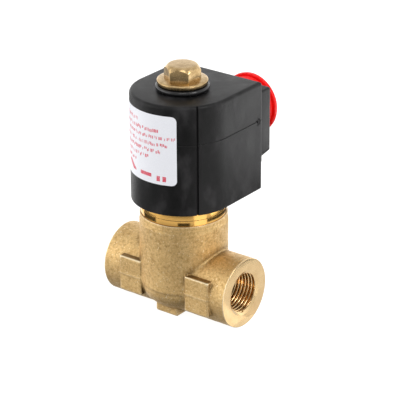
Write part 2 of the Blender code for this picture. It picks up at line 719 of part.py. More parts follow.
def build_valve():
    brass = (0.62, 0.44, 0.20)
    steel = (0.56, 0.57, 0.58)
    finish(valve_body(), material("forged_brass", brass, 0.42, 1.0))
    finish(orifice_seat(), material("seat_brass", brass, 0.3, 1.0))
    finish(bonnet_o_ring(), material("o_ring_rubber", (0.02, 0.02, 0.022), 0.6))
    finish(bonnet(), material("polished_brass", (0.86, 0.62, 0.22), 0.15, 1.0))
    finish(guide_tube(), material("tube_steel", steel, 0.3, 1.0))
    finish(fixed_core(), material("core_steel", steel, 0.35, 1.0))
    finish(shading_ring(), material("shading_copper", (0.72, 0.35, 0.2), 0.35, 1.0))


def build_plunger():
    steel = (0.56, 0.57, 0.58)
    pieces = [finish(plunger(), material("plunger_steel", steel, 0.3, 1.0)),
              finish(plunger_seal(), material("seal_rubber", (0.02, 0.02, 0.022), 0.6)),
              finish(return_spring(), material("spring_steel", steel, 0.25, 1.0))]
    lift = joint_empty("plunger_lift")
    for piece in pieces:
        hang(piece, lift)


def build_coil():
    copper = material("winding_copper", (0.65, 0.28, 0.12), 0.35, 1.0)
    steel = material("plate_steel", (0.56, 0.57, 0.58), 0.4, 1.0)
    blade_metal = material("terminal_metal", (0.8, 0.72, 0.5), 0.3, 1.0)
    pieces = [finish(coil_housing(), material("housing_plastic", (0.02, 0.02, 0.022), 0.45)),
              finish(coil_bobbin(), material("bobbin_plastic", (0.75, 0.72, 0.62), 0.5)),
              finish(coil_winding(), copper),
              finish(flux_sleeve(), steel),
              finish(coil_base_gasket(), material("gasket_rubber", (0.02, 0.02, 0.022), 0.6)),
              finish(rating_label(), material("label_paper", (0.85, 0.82, 0.8), 0.5)),
              finish(terminal_block(), material("block_plastic", (0.05, 0.05, 0.05), 0.5))]
    pieces += [finish(plate, steel) for plate in flux_plates()]
    pieces += [finish(lead, copper) for lead in coil_leads()]
    pieces += [finish(blade, blade_metal) for blade in terminals()]
    swivel = joint_empty("coil_swivel")
    for piece in pieces:
        hang(piece, swivel)
    pull = joint_empty("cap_pull", swivel, HUB_AXIS_Z)
    hang(finish(conduit_cap(), material("cap_plastic", (0.8, 0.02, 0.03), 0.35)), pull)


def build_nut():
    """The washer turns with the nut but stays on the coil; the nut also rises along its thread."""
    turn = joint_empty("nut_turn")
    hang(finish(top_seal_washer(), material("washer_rubber", (0.02, 0.02, 0.022), 0.35)), turn)
    rise = joint_empty("nut_rise", turn)
    hang(finish(coil_nut(), material("nut_brass", (0.75, 0.55, 0.28), 0.3, 1.0)), rise)


clear_scene()
PARTS = new_collection("solenoid_valve")
CUTTERS = new_collection("cutters")
build_valve()
build_plunger()
build_coil()
build_nut()
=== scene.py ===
"""Looks of a solenoid valve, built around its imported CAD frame.

The frame: X runs along the pipe, Y points at the conduit hub and Z goes up the plunger. Lengths are
millimetres, which MM turns into scene units. Shapes that the CAD also has take their sizes from
its nodes' boxes where a box gives them, and from the named values below where it doesn't.
"""

import math
import random

import bmesh
import bpy
import numpy as np
from mathutils import Matrix, Vector, noise


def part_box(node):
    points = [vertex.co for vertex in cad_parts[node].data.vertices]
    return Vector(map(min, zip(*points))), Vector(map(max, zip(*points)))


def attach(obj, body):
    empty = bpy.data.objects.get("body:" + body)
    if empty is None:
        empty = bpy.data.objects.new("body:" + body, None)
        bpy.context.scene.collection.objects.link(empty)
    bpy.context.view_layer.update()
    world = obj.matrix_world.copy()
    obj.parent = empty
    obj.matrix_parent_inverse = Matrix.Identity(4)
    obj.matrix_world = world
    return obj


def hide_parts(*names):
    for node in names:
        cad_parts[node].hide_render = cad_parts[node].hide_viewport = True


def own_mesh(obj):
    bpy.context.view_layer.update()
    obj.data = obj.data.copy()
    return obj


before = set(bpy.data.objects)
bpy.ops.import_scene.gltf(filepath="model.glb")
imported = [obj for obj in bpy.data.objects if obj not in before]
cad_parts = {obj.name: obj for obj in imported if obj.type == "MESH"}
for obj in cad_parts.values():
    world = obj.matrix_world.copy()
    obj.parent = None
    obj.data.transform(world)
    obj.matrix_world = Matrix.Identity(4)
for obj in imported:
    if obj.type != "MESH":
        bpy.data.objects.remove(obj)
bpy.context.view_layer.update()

MM = 0.001
ROUND = 96                     # steps round a turned piece that shows
SMALL = 48                     # steps round a small or an inner one
MERGE = 1e-7
SHARP = math.radians(34)
SKEW = 0.013                   # turns lathe seams off the symmetry planes, where exact cuts can fail


def low_high(node):
    """A CAD node's box, in millimetres."""
    low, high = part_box(node)
    return low / MM, high / MM


# ---------------------------------------------------------------- sizes

BODY_LOW, BODY_HIGH = low_high("valve_body")
PORT_LENGTH = BODY_HIGH.x
PORT_RADIUS = 13.36
RIM_TOP = BODY_HIGH.z
RIM_BOTTOM = RIM_TOP - 3.1
RIM_RADIUS = 16.48
NECK_RADIUS = 16.58
NECK_UNDER = 12.4
LIP_Z, LIP_EDGE = -1.6, 0.8    # the soft lower edge of the neck's wall, over its round underside
UNDER_RADIUS = 16.4
PAD_Y = 13.9
PAD_BOTTOM, PAD_TOP = -7.0, 7.2
PADS = [((start, -PAD_Y, PAD_BOTTOM), (end, PAD_Y, PAD_TOP)) for start, end in ((10.6, 21.6), (-20.2, -9.8))]
FOOT_X = (-6.1, 4.1)
FOOT_Y = 9.8
SOCKET_MOUTH = 7.62
SOCKET_CHAMFER = 8.85
SOCKET_DEPTH = 14.0
PASSAGE_RADIUS = 3.8
PIPE_PITCH = 1.411
PIPE_THREAD_DEPTH = 0.98
PIPE_TAPER = 1 / 32

CHAMBER_TOP, CHAMBER_FLOOR = 18.0, 9.0
SEAT_FLOOR = 4.3

RING_LOW, RING_HIGH = low_high("bonnet")
RING_RADIUS = RING_HIGH.x
PIN_HOLE_AT = 13.0             # the pin spanner's two holes in the ring's top, from its axis
PIN_HOLE_RADIUS = 1.2
PIN_HOLE_DEPTH = 2

COIL_LOW, COIL_HIGH = low_high("coil_housing")
COIL_RADIUS = COIL_HIGH.x
COIL_BACK = 22.8
COIL_RIM = 1.3
COIL_BORE = 7.6
WINDING_ROOM_RADIUS = 16.2
WINDING_ROOM_Z = (35.7, 71.3)
GASKET_SEAT_Z = 33.7
SEAM_Z = 60.0
GROOVE_ANGLE = math.radians(-37)
HUB_FACE = COIL_HIGH.y
HUB_HALF = 18.9
HUB_Z = (39.5, 70.8)
HUB_SHOULDER = 42.3
HUB_CHAMFER = 3.6
HUB_AXIS = Vector((0, 0, 56.0))
HUB_MOUTH = 10.3
HUB_FLOOR = 18.0
HUB_TAPER = 0.08
HUB_PITCH = 1.814
LINE_X, LINE_Z = 4.5, 58.1     # where the two line blades stand in the hub, to either side
EARTH_Z = 50.2

NUT_LOW, NUT_HIGH = low_high("coil_nut")
STUD_PITCH = 0.907


# ---------------------------------------------------------------- mesh tools

def link_object(name, data):
    """A new object in the scene, which shows a mesh, a curve, a camera or a lamp."""
    obj = bpy.data.objects.new(name, data)
    bpy.context.scene.collection.objects.link(obj)
    return obj


def raw_object(name, points, faces):
    """An object from points in scene units and faces, as they are."""
    mesh = bpy.data.meshes.new(name)
    mesh.from_pydata(points, [], faces)
    return link_object(name, mesh)


def new_object(name, points, faces):
    """An object from points in millimetres, with its faces turned outwards."""
    obj = raw_object(name, [tuple(Vector(p) * MM) for p in points], faces)
    mesh = obj.data
    shape = bmesh.new()
    shape.from_mesh(mesh)
    bmesh.ops.remove_doubles(shape, verts=shape.verts, dist=MERGE)
    bmesh.ops.recalc_face_normals(shape, faces=shape.faces)
    shape.to_mesh(mesh)
    shape.free()
    return obj


def apply_modifiers(obj):
    """Replace an object's mesh by what its modifiers make of it."""
    bpy.context.view_layer.update()
    evaluated = obj.evaluated_get(bpy.context.evaluated_depsgraph_get())
    mesh = bpy.data.meshes.new_from_object(evaluated)
    obj.modifiers.clear()
    old, obj.data = obj.data, mesh
    bpy.data.meshes.remove(old)
    return obj


def boolean(obj, tools, operation="DIFFERENCE"):
    """Cut an object with others, or join them, and remove them. Cut faces take the tool's material."""
    for tool in tools:
        modifier = obj.modifiers.new("boolean", "BOOLEAN")
        modifier.operation = operation
        modifier.solver = "EXACT"
        modifier.material_mode = "TRANSFER"
        modifier.object = tool
        apply_modifiers(obj)
        bpy.data.objects.remove(tool, do_unlink=True)
    return obj


def soften(obj, width, segments=2, angle=35):
    """Round an object's sharp edges."""
    bevel = obj.modifiers.new("soften", "BEVEL")
    bevel.width = width * MM
    bevel.segments = segments
    bevel.limit_method = "ANGLE"
    bevel.angle_limit = math.radians(angle)
    bevel.miter_outer = "MITER_ARC"
    bevel.use_clamp_overlap = True
    return apply_modifiers(obj)


def turn_to(axis):
    """The rotation that takes a shape turned about Z to another axis."""
    return {
        "Z": Matrix.Identity(4),
        "X": Matrix.Rotation(math.radians(90), 4, "Y"),
        "-X": Matrix.Rotation(math.radians(-90), 4, "Y"),
        "Y": Matrix.Rotation(math.radians(-90), 4, "X"),
    }[axis]


def place(obj, axis="Z", centre=(0, 0, 0)):
    obj.data.transform(Matrix.Translation(Vector(centre) * MM) @ turn_to(axis))
    return obj


def lathe(name, profile, axis="Z", centre=(0, 0, 0), steps=ROUND):
    """Turn a loop of (radius, height) points, or a line from the axis to the axis, about an axis."""
    points, rows, faces = [], [], []
    for radius, height in profile:
        if radius < 1e-6:
            rows.append([len(points)] * steps)
            points.append((0, 0, height))
            continue
        rows.append(range(len(points), len(points) + steps))
        points += [(radius * math.cos(a + SKEW), radius * math.sin(a + SKEW), height)
                   for a in np.linspace(0, math.tau, steps, endpoint=False)]
    for upper, lower in zip(rows, rows[1:] + rows[:1]):
        for i in range(steps):
            j = (i + 1) % steps
            corners = list(dict.fromkeys((upper[i], lower[i], lower[j], upper[j])))
            if len(corners) > 2:
                faces.append(corners)
    return place(new_object(name, points, faces), axis, centre)


def rounded(corners, steps=4):
    """Corners (x, y, radius) as a polyline, with an arc at each corner that has a radius."""
    line = []
    for i, corner in enumerate(corners):
        here = Vector(corner[:2])
        if len(corner) == 2:
            line.append(tuple(here))
            continue
        radius = corner[2]
        before = (Vector(corners[i - 1][:2]) - here).normalized()
        after = (Vector(corners[(i + 1) % len(corners)][:2]) - here).normalized()
        half = before.angle(after) / 2
        centre = here + (before + after).normalized() * radius / math.sin(half)
        start = here + before * radius / math.tan(half) - centre
        end = here + after * radius / math.tan(half) - centre
        sweep = start.angle(end)
        for k in range(steps + 1):
            share = k / steps
            spoke = start * math.sin((1 - share) * sweep) + end * math.sin(share * sweep)
            line.append(tuple(centre + spoke / math.sin(sweep)))
    return line


def plain_ring(name, radii, heights, edges, steps=ROUND):
    """A ring of rectangular section, given its inner and outer radii and edge radii."""
    (inner, outer), (low, high), (inside, outside) = radii, heights, edges
    return lathe(name, rounded([(inner, high, inside), (outer, high, outside),
                                (outer, low, outside), (inner, low, inside)]), steps=steps)


def loft(name, rings):
    """A closed body through rings of equally many points, with flat ends."""
    count = len(rings[0])
    last = (len(rings) - 1) * count
    faces = []
    for start in range(0, last, count):
        for i in range(count):
            j = (i + 1) % count
            faces.append([start + i, start + j, start + count + j, start + count + i])
    faces += [list(range(count))[::-1], [last + i for i in range(count)]]
    return new_object(name, [p for ring in rings for p in ring], faces)


def rim_levels(low, high, edge_low, edge_high, steps=5):
    """Heights and insets that round the two ends of a lofted body."""
    quarter = [math.radians(90) * i / steps for i in range(steps + 1)]
    bottom = [(low + edge_low * (1 - math.sin(a)), edge_low * (1 - math.cos(a))) for a in quarter[::-1]]
    top = [(high - edge_high * (1 - math.sin(a)), edge_high * (1 - math.cos(a))) for a in quarter]
    return bottom + top


def slab(name, low, high, edge=0.0, segments=2):
    """A box between two corners, with rounded edges."""
    mesh = bpy.data.meshes.new(name)
    shape = bmesh.new()
    bmesh.ops.create_cube(shape, size=1.0)
    size = (Vector(high) - Vector(low)) * MM
    middle = (Vector(high) + Vector(low)) * MM / 2
    fit = Matrix.Translation(middle) @ Matrix.Diagonal((*size, 1))
    bmesh.ops.transform(shape, matrix=fit, verts=shape.verts)
    if edge:
        bmesh.ops.bevel(shape, geom=shape.edges[:], offset=edge * MM, segments=segments,
                        profile=0.5, affect="EDGES")
    shape.to_mesh(mesh)
    shape.free()
    return link_object(name, mesh)


def wire(name, points, radius, sides=10):
    """A round wire through points, with closed ends."""
    curve = bpy.data.curves.new(name, "CURVE")
    curve.dimensions = "3D"
    curve.bevel_depth = radius * MM
    curve.bevel_resolution = sides // 2 - 2
    curve.use_fill_caps = True
    spline = curve.splines.new("POLY")
    spline.points.add(len(points) - 1)
    for point, spot in zip(spline.points, points):
        point.co = (*(Vector(spot) * MM), 1)
    guide = link_object(name + "_path", curve)
    bpy.context.view_layer.update()
    mesh = bpy.data.meshes.new_from_object(guide.evaluated_get(bpy.context.evaluated_depsgraph_get()))
    bpy.data.objects.remove(guide, do_unlink=True)
    return link_object(name, mesh)


def thread(name, radius, pitch, depth, start, end, axis="Z", centre=(0, 0, 0), taper=0.0, steps=60):
    """A right-hand screw thread as a closed body along its axis, from start to end.

    Its radius is that at start, outside a cutter's bore or at a rod's roots, and the ridge stands
    out from it by depth, fading over the last turn. taper is the radius lost per unit of length.
    """
    land = 0.30 * pitch           # radius of the rounded land between two ridges
    bends = [math.radians(a) for a in (-60, -40, -20, 0, 20, 40, 60)]
    shape = [(0.27 + 0.30 * math.sin(a), land * (1 - math.cos(a)) / depth) for a in bends]
    shape += [(0.72, 1.0), (0.80, 1.0)]                          # shares of a pitch, shares of the depth
    rows = len(shape)
    turns = math.ceil(abs(end - start) / pitch)
    way = 1 if end > start else -1
    strands = turns * steps + 1
    points = []
    for s in range(strands + steps):
        for share, ridge in shape:
            along = (s / steps + share) * pitch
            fade = min(max((turns * pitch - along) / pitch, 0.0), 1.0)
            across = radius - min(along, turns * pitch) * taper + depth * ridge * fade
            angle = way * math.tau * s / steps
            points.append((across * math.cos(angle), across * math.sin(angle), start + way * along))
    faces = []
    for s in range(strands - 1):
        for k in range(rows):
            here, there = s * rows + k, (s + 1) * rows + k
            over = [here + 1, there + 1] if k < rows - 1 else [(s + steps) * rows, (s + 1 + steps) * rows]
            faces.append([here, there, over[1], over[0]])
    obj = new_object(name, points, faces)
    close_ends(obj, start - way * pitch * 0.5, start + way * (turns + 1.5) * pitch)
    return place(obj, axis, centre)


def close_ends(obj, *heights):
    """Close a tube's two open ends, each with a fan to a point on the axis."""
    shape = bmesh.new()
    shape.from_mesh(obj.data)
    loose = [v for v in shape.verts if not v.link_faces]
    bmesh.ops.delete(shape, geom=loose, context="VERTS")
    open_edges = [e for e in shape.edges if e.is_boundary]
    middle = sum(v.co.z for e in open_edges for v in e.verts) / (2 * len(open_edges))
    tips = sorted(heights)
    lower = shape.verts.new((0, 0, tips[0] * MM))
    upper = shape.verts.new((0, 0, tips[1] * MM))
    for edge in open_edges:
        tip = lower if edge.verts[0].co.z < middle else upper
        shape.faces.new((edge.verts[1], edge.verts[0], tip))
    bmesh.ops.recalc_face_normals(shape, faces=shape.faces)
    shape.to_mesh(obj.data)
    shape.free()


def finish(obj, look, body, slot, *nodes, sharp=SHARP):
    """Give a piece its material and shading and its body, and hide the CAD nodes it stands for; slot is not
    used.
    """
    if look:
        obj.data.materials.clear()
        obj.data.materials.append(look)
    obj.data.shade_smooth()
    obj.data.set_sharp_from_angle(angle=sharp)
    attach(obj, body)
    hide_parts(*nodes)
    return obj


# ---------------------------------------------------------------- materials

class Nodes:
    """A node tree, with short calls that add and join nodes."""

    def __init__(self, tree):
        self.tree = tree

    def feed(self, socket, value):
        """Join a socket to another node's output, or give it a constant."""
        if hasattr(value, "is_linked"):
            self.tree.links.new(value, socket)
        else:
            socket.default_value = value

    def vector(self, operation, a, b=None, scale=None):
        node = self.tree.nodes.new("ShaderNodeVectorMath")
        node.operation = operation
        self.feed(node.inputs[0], a)
        if b is not None:
            self.feed(node.inputs[1], b)
        if scale is not None:
            self.feed(node.inputs["Scale"], scale)
        return node.outputs["Value"] if operation == "DOT_PRODUCT" else node.outputs["Vector"]

    def math(self, operation, a, b=0.0, c=0.0):
        node = self.tree.nodes.new("ShaderNodeMath")
        node.operation = operation
        for socket, value in zip(node.inputs, (a, b, c)):
            self.feed(socket, value)
        return node.outputs["Value"]

    def beyond(self, value, limit):
        """1 where a value is further than limit from zero, on either side."""
        return self.math("GREATER_THAN", self.math("ABSOLUTE", value), limit)

    def split(self, vector):
        node = self.tree.nodes.new("ShaderNodeSeparateXYZ")
        self.feed(node.inputs[0], vector)
        return [node.outputs[axis] for axis in "XYZ"]

    def ramp(self, value, *stops):
        """Map a value to colours or greys, through (position, colour or grey) stops."""
        node = self.tree.nodes.new("ShaderNodeValToRGB")
        self.feed(node.inputs["Fac"], value)
        elements = node.color_ramp.elements
        while len(elements) < len(stops):
            elements.new(0.5)
        for element, (position, color) in zip(elements, stops):
            element.position = position
            element.color = (*color, 1) if hasattr(color, "__len__") else (color, color, color, 1)
        return node.outputs["Color"]


class Look(Nodes):
    """A material and its Principled shader.

    Every pattern is worked out from the object's own coordinates in millimetres.
    """

    def __init__(self, name, color, roughness, metallic=0.0, **constants):
        self.material = bpy.data.materials.new(name)
        self.material.use_nodes = True
        super().__init__(self.material.node_tree)
        self.shader = self.tree.nodes["Principled BSDF"]
        self.set("Base Color", (*color, 1))
        self.set("Roughness", roughness)
        self.set("Metallic", metallic)
        for socket, value in constants.items():
            self.set(socket.replace("_", " "), value)
        source = self.tree.nodes.new("ShaderNodeTexCoord")
        self.normal = source.outputs["Normal"]
        self.place = self.vector("SCALE", source.outputs["Object"], scale=1 / MM)
        self.height = None

    def set(self, socket, value):
        self.feed(self.shader.inputs[socket], value)

    def noise(self, size, detail=2.0, stretch=(1, 1, 1), roughness=0.5):
        """Noise from 0 to 1 whose blots are about size millimetres across."""
        node = self.tree.nodes.new("ShaderNodeTexNoise")
        spread = Vector([1 / (size * s) for s in stretch])
        self.feed(node.inputs["Vector"], self.vector("MULTIPLY", self.place, spread))
        node.inputs["Scale"].default_value = 1.0
        node.inputs["Detail"].default_value = detail
        node.inputs["Roughness"].default_value = roughness
        return node.outputs["Fac"]

    def lines(self, along, width):
        """Fine parallel tool marks, from noise along one coordinate."""
        node = self.tree.nodes.new("ShaderNodeTexNoise")
        node.noise_dimensions = "1D"
        self.feed(node.inputs["W"], self.math("DIVIDE", along, width))
        node.inputs["Detail"].default_value = 3.0
        node.inputs["Scale"].default_value = 1.0
        return node.outputs["Fac"]

    def openness(self, reach, inside=False):
        """1 where the surface is open, less in corners within reach millimetres, or inside its edges."""
        node = self.tree.nodes.new("ShaderNodeAmbientOcclusion")
        node.samples = 8
        node.inside = inside
        node.only_local = True
        node.inputs["Distance"].default_value = reach * MM
        return node.outputs["AO"]

    def mix(self, share, a, b, kind="MIX"):
        node = self.tree.nodes.new("ShaderNodeMix")
        node.data_type = "RGBA"
        node.blend_type = kind
        self.feed(node.inputs["Factor"], share)
        for socket, value in (("A", a), ("B", b)):
            inputs = [i for i in node.inputs if i.name == socket and i.type == "RGBA"]
            self.feed(inputs[0], (*value, 1) if isinstance(value, tuple) else value)
        return [o for o in node.outputs if o.type == "RGBA"][0]

    def bump(self, height, depth):
        """Raise the surface by up to depth millimetres where height is 1."""
        node = self.tree.nodes.new("ShaderNodeBump")
        node.inputs["Distance"].default_value = depth * MM
        node.inputs["Strength"].default_value = 1.0
        self.feed(node.inputs["Height"], height)
        if self.height is not None:
            self.feed(node.inputs["Normal"], self.height)
        self.height = node.outputs["Normal"]
        self.set("Normal", self.height)

    def clouded(self, cloud, tones, roughnesses, grain, depth):
        """Spread two tones and two roughnesses over a cloud, and raise a fine grain."""
        self.set("Base Color", self.ramp(cloud, (0.3, tones[0]), (0.7, tones[1])))
        self.set("Roughness", self.ramp(cloud, (0.3, roughnesses[0]), (0.7, roughnesses[1])))
        self.bump(grain, depth)
        return self.material


# Painted shade: a dark brown mixed into the forging where its creases, hollows and the pads' upward faces lie
# in shade.
PAINTED_SHADE = (0.12, 0.065, 0.018)
TARNISH = (0.42, 0.26, 0.09)
# Pale brass for random specks, and for edges, where it is partly wear and partly a painted highlight.
RUBBED_AND_LIT = (1.0, 0.86, 0.58)


def forging_tone(look, grain, scale):
    """The forging's own colour: clouded and mottled, with dark grain and bright specks."""
    tone = look.ramp(look.noise(4.5, 3), (0.3, (0.60, 0.378, 0.145)), (0.7, (0.76, 0.51, 0.215)))
    tone = look.mix(look.ramp(scale, (0.40, 0.0), (0.68, 0.7)), tone, (0.88, 0.64, 0.31))
    tone = look.mix(look.ramp(scale, (0.30, 0.55), (0.48, 0.0)), tone, TARNISH)
    tone = look.mix(look.ramp(grain, (0.34, 0.6), (0.5, 0.0)), tone, (0.36, 0.22, 0.08))
    specks = look.ramp(look.noise(0.6, 1), (0.68, 0.0), (0.73, 0.8))
    return look.mix(specks, tone, RUBBED_AND_LIT)


def forged_brass(name, skimmed):
    """Blasted forging: grainy, matte, with paler specks, edges lightened partly as wear and partly as a
    painted highlight, a painted highlight along the pads' top edges, and painted shade in its hollows and on
    the pads' upward faces.

    Where it is skimmed, a light cut has left level tool marks and less of the grain.
    """
    look = Look(name, (0.66, 0.45, 0.2), 0.45, 0.9)
    grain = look.noise(0.34, 3, roughness=0.7)
    scale = look.noise(1.0, 4, roughness=0.65)
    tone = forging_tone(look, grain, scale)
    if skimmed:
        marks = look.lines(look.split(look.place)[2], 0.4)
        tone = look.mix(look.ramp(marks, (0.4, 0.5), (0.55, 0.0)), tone, TARNISH)
        look.bump(marks, 0.05)
    x, y, z = look.split(look.place)
    line = look.ramp(look.math("ABSOLUTE", z), (0.15, 0.3), (0.5, 0.0))
    on_pad = look.math("MULTIPLY", look.beyond(y, PAD_Y - 0.4), look.beyond(x, 10.2))
    tone = look.mix(look.math("MULTIPLY", line, on_pad), tone, (0.95, 0.76, 0.46))
    # Convex edges lightened, partly as wear and partly as a painted highlight.
    worn_and_lit_edges = look.ramp(look.openness(1.0, inside=True), (0.55, 1.0), (0.88, 0.0))
    tone = look.mix(worn_and_lit_edges, tone, RUBBED_AND_LIT)
    # Painted shade: the tone darkens to dark brown in creases and hollows, by ambient occlusion within 4 mm.
    crease_shade = look.ramp(look.openness(4.0), (0.5, 0.95), (0.95, 0.0))
    tone = look.mix(crease_shade, tone, PAINTED_SHADE)
    # Painted shade on the pads' upward faces.
    outward = look.beyond(y, PAD_Y - 2.5)
    upward = look.math("GREATER_THAN", look.split(look.normal)[2], 0.8)
    shelf_shade = look.math("MULTIPLY", look.math("MULTIPLY", outward, upward), 0.7)
    tone = look.mix(shelf_shade, tone, PAINTED_SHADE)
    # Painted highlight: a pale band along the pads' top edges.
    on_top = look.math("GREATER_THAN", z, PAD_TOP - 0.55)
    painted_edge_highlight = look.math("MULTIPLY", look.math("MULTIPLY", on_top, on_pad), 0.55)
    look.set("Base Color", look.mix(painted_edge_highlight, tone, (1.0, 0.88, 0.62)))
    look.set("Roughness", look.ramp(scale, (0.3, 0.55), (0.7, 0.38)))
    look.bump(grain, 0.04 if skimmed else 0.11)
    look.bump(scale, 0.04 if skimmed else 0.16)
    return look.material


def turned_brass():
    """Machined brass: pale, with fine tool rings round the pipe axis and round the neck."""
    look = Look("turned_brass", (0.86, 0.66, 0.38), 0.26, 1.0)
    _, y, z = look.split(look.place)
    squares = look.math("ADD", look.math("MULTIPLY", y, y), look.math("MULTIPLY", z, z))
    about_pipe = look.math("SQRT", squares)
    facing = look.beyond(look.split(look.normal)[0], 0.8)
    along = look.mix(facing, z, about_pipe)
    rings = look.lines(along, 0.09)
    cloud = look.noise(4.0, 3)
    tone = look.ramp(cloud, (0.3, (0.74, 0.50, 0.235)), (0.7, (0.86, 0.62, 0.32)))
    tone = look.mix(look.ramp(rings, (0.4, 0.0), (0.7, 0.35)), tone, (0.92, 0.74, 0.46))
    # Painted shade: the tone darkens to brown in the thread's grooves and other corners, by ambient occlusion
    # within 1.2 mm.
    roots = look.ramp(look.openness(1.2), (0.1, 0.8), (0.35, 0.0))
    look.set("Base Color", look.mix(roots, tone, (0.34, 0.17, 0.04)))
    look.set("Roughness", look.ramp(rings, (0.35, 0.22), (0.65, 0.14)))
    look.bump(rings, 0.006)
    return look.material


def nut_brass():
    """Satin brass with the faint grain of a tumbled nut."""
    look = Look("nut_brass", (0.72, 0.53, 0.28), 0.33, 1.0)
    grain = look.noise(0.25, 3)
    cloud = look.noise(2.2, 3)
    tone = look.ramp(cloud, (0.3, (0.43, 0.29, 0.13)), (0.7, (0.64, 0.46, 0.24)))
    look.set("Base Color", look.mix(look.ramp(grain, (0.3, 0.4), (0.5, 0.0)), tone, (0.42, 0.27, 0.11)))
    look.set("Roughness", look.ramp(grain, (0.3, 0.30), (0.7, 0.19)))
    look.bump(grain, 0.014)
    return look.material


def polished_brass():
    """Bright turned brass with hair-fine tool lines."""
    look = Look("polished_brass", (0.92, 0.62, 0.2), 0.1, 1.0)
    rings = look.lines(look.split(look.place)[2], 0.07)
    look.set("Base Color", look.ramp(rings, (0.35, (0.78, 0.43, 0.10)), (0.7, (0.88, 0.53, 0.17))))
    look.set("Roughness", look.ramp(rings, (0.3, 0.16), (0.7, 0.08)))
    look.bump(rings, 0.002)
    return look.material


def darker(tone, share):
    return tuple(share * c for c in tone)


def steel(name, tone, roughness, line_width=0.12):
    """Turned or drawn steel: fine rings round Z over a slightly clouded tone."""
    look = Look(name, tone, roughness, 1.0)
    rings = look.lines(look.split(look.place)[2], line_width)
    cloud = look.noise(2.5, 3)
    look.set("Base Color", look.mix(look.ramp(cloud, (0.3, 0.0), (0.75, 0.8)), tone, darker(tone, 0.82)))
    look.set("Roughness", look.ramp(rings, (0.3, roughness * 1.25), (0.7, roughness * 0.8)))
    look.bump(rings, 0.004)
    return look.material


def copper(name, tone):
    """Copper under enamel: each turn's gloss differs a little."""
    look = Look(name, tone, 0.3, 1.0, Coat_Weight=0.5, Coat_Roughness=0.15)
    cloud = look.noise(1.4, 3, stretch=(3, 3, 0.4))
    return look.clouded(cloud, (darker(tone, 0.75), tone), (0.38, 0.26), look.noise(0.2, 2), 0.004)


def housing_plastic():
    """Black glass-filled moulding: satin, faintly pitted, with smooth cloudy flow marks."""
    look = Look("housing_plastic", (0.006, 0.006, 0.007), 0.42, 0.0, Specular_IOR_Level=0.23)
    pits = look.noise(0.3, 3, roughness=0.6)
    flow = look.noise(6.0, 4, stretch=(1, 1, 1.8))
    look.set("Base Color", look.ramp(flow, (0.4, (0.003, 0.003, 0.003)), (0.55, (0.008, 0.0075, 0.008)),
                                     (0.75, (0.030, 0.029, 0.030))))
    look.set("Roughness", look.ramp(flow, (0.25, 0.32), (0.75, 0.5)))
    look.bump(flow, 0.10)
    look.bump(pits, 0.06)
    return look.material


def rubber(name, roughness):
    look = Look(name, (0.012, 0.012, 0.013), roughness)
    return look.clouded(look.noise(1.5, 3), ((0.009, 0.009, 0.010), (0.017, 0.017, 0.018)),
                        (roughness * 0.8, roughness * 1.2), look.noise(0.3, 2), 0.006)


def red_plastic():
    """Translucent red polythene."""
    look = Look("red_plastic", (0.9, 0.012, 0.012), 0.3, 0.0, Subsurface_Weight=0.5,
                Subsurface_Radius=(1.0, 0.12, 0.1), Subsurface_Scale=0.0016, Specular_IOR_Level=0.25)
    return look.clouded(look.noise(4.0, 3), ((0.93, 0.006, 0.006), (1.0, 0.014, 0.012)), (0.26, 0.36),
                        look.noise(0.8, 3), 0.02)


def plastic(name, tone, roughness):
    look = Look(name, tone, roughness)
    return look.clouded(look.noise(3.0, 3), (darker(tone, 0.86), tone),
                        (roughness * 0.85, roughness * 1.15), look.noise(0.3, 2), 0.01)


def label_paper():
    """White label stock with red ink where the mesh's ink value is 1."""
    look = Look("label_paper", (0.86, 0.87, 0.92), 0.42, 0.0)
    ink = look.tree.nodes.new("ShaderNodeAttribute")
    ink.attribute_name = "ink"
    fibre = look.noise(0.35, 3)
    white = look.ramp(fibre, (0.3, (0.86, 0.87, 0.92)), (0.7, (0.92, 0.93, 0.98)))
    cover = look.ramp(look.noise(0.5, 2), (0.3, 0.7), (0.6, 1.0))
    strength = look.math("MULTIPLY", ink.outputs["Fac"], cover)
    look.set("Base Color", look.mix(strength, white, (0.72, 0.055, 0.10)))
    look.set("Roughness", look.ramp(fibre, (0.3, 0.38), (0.7, 0.48)))
    look.bump(fibre, 0.004)
    return look.material


# ---------------------------------------------------------------- valve body

def smooth_min(a, b, blend):
    """The lesser of two distances, with a fillet of about blend millimetres where they meet."""
    share = np.clip(0.5 + 0.5 * (b - a) / blend, 0, 1)
    return b + (a - b) * share - blend * share * (1 - share)


def block_distance(p, low, high, edge):
    """Distance from a box with rounded edges."""
    low, high = np.array(low), np.array(high)
    away = np.abs(p - (low + high) / 2) - (high - low) / 2 + edge
    return np.linalg.norm(np.maximum(away, 0), axis=1) + np.minimum(away.max(axis=1), 0) - edge


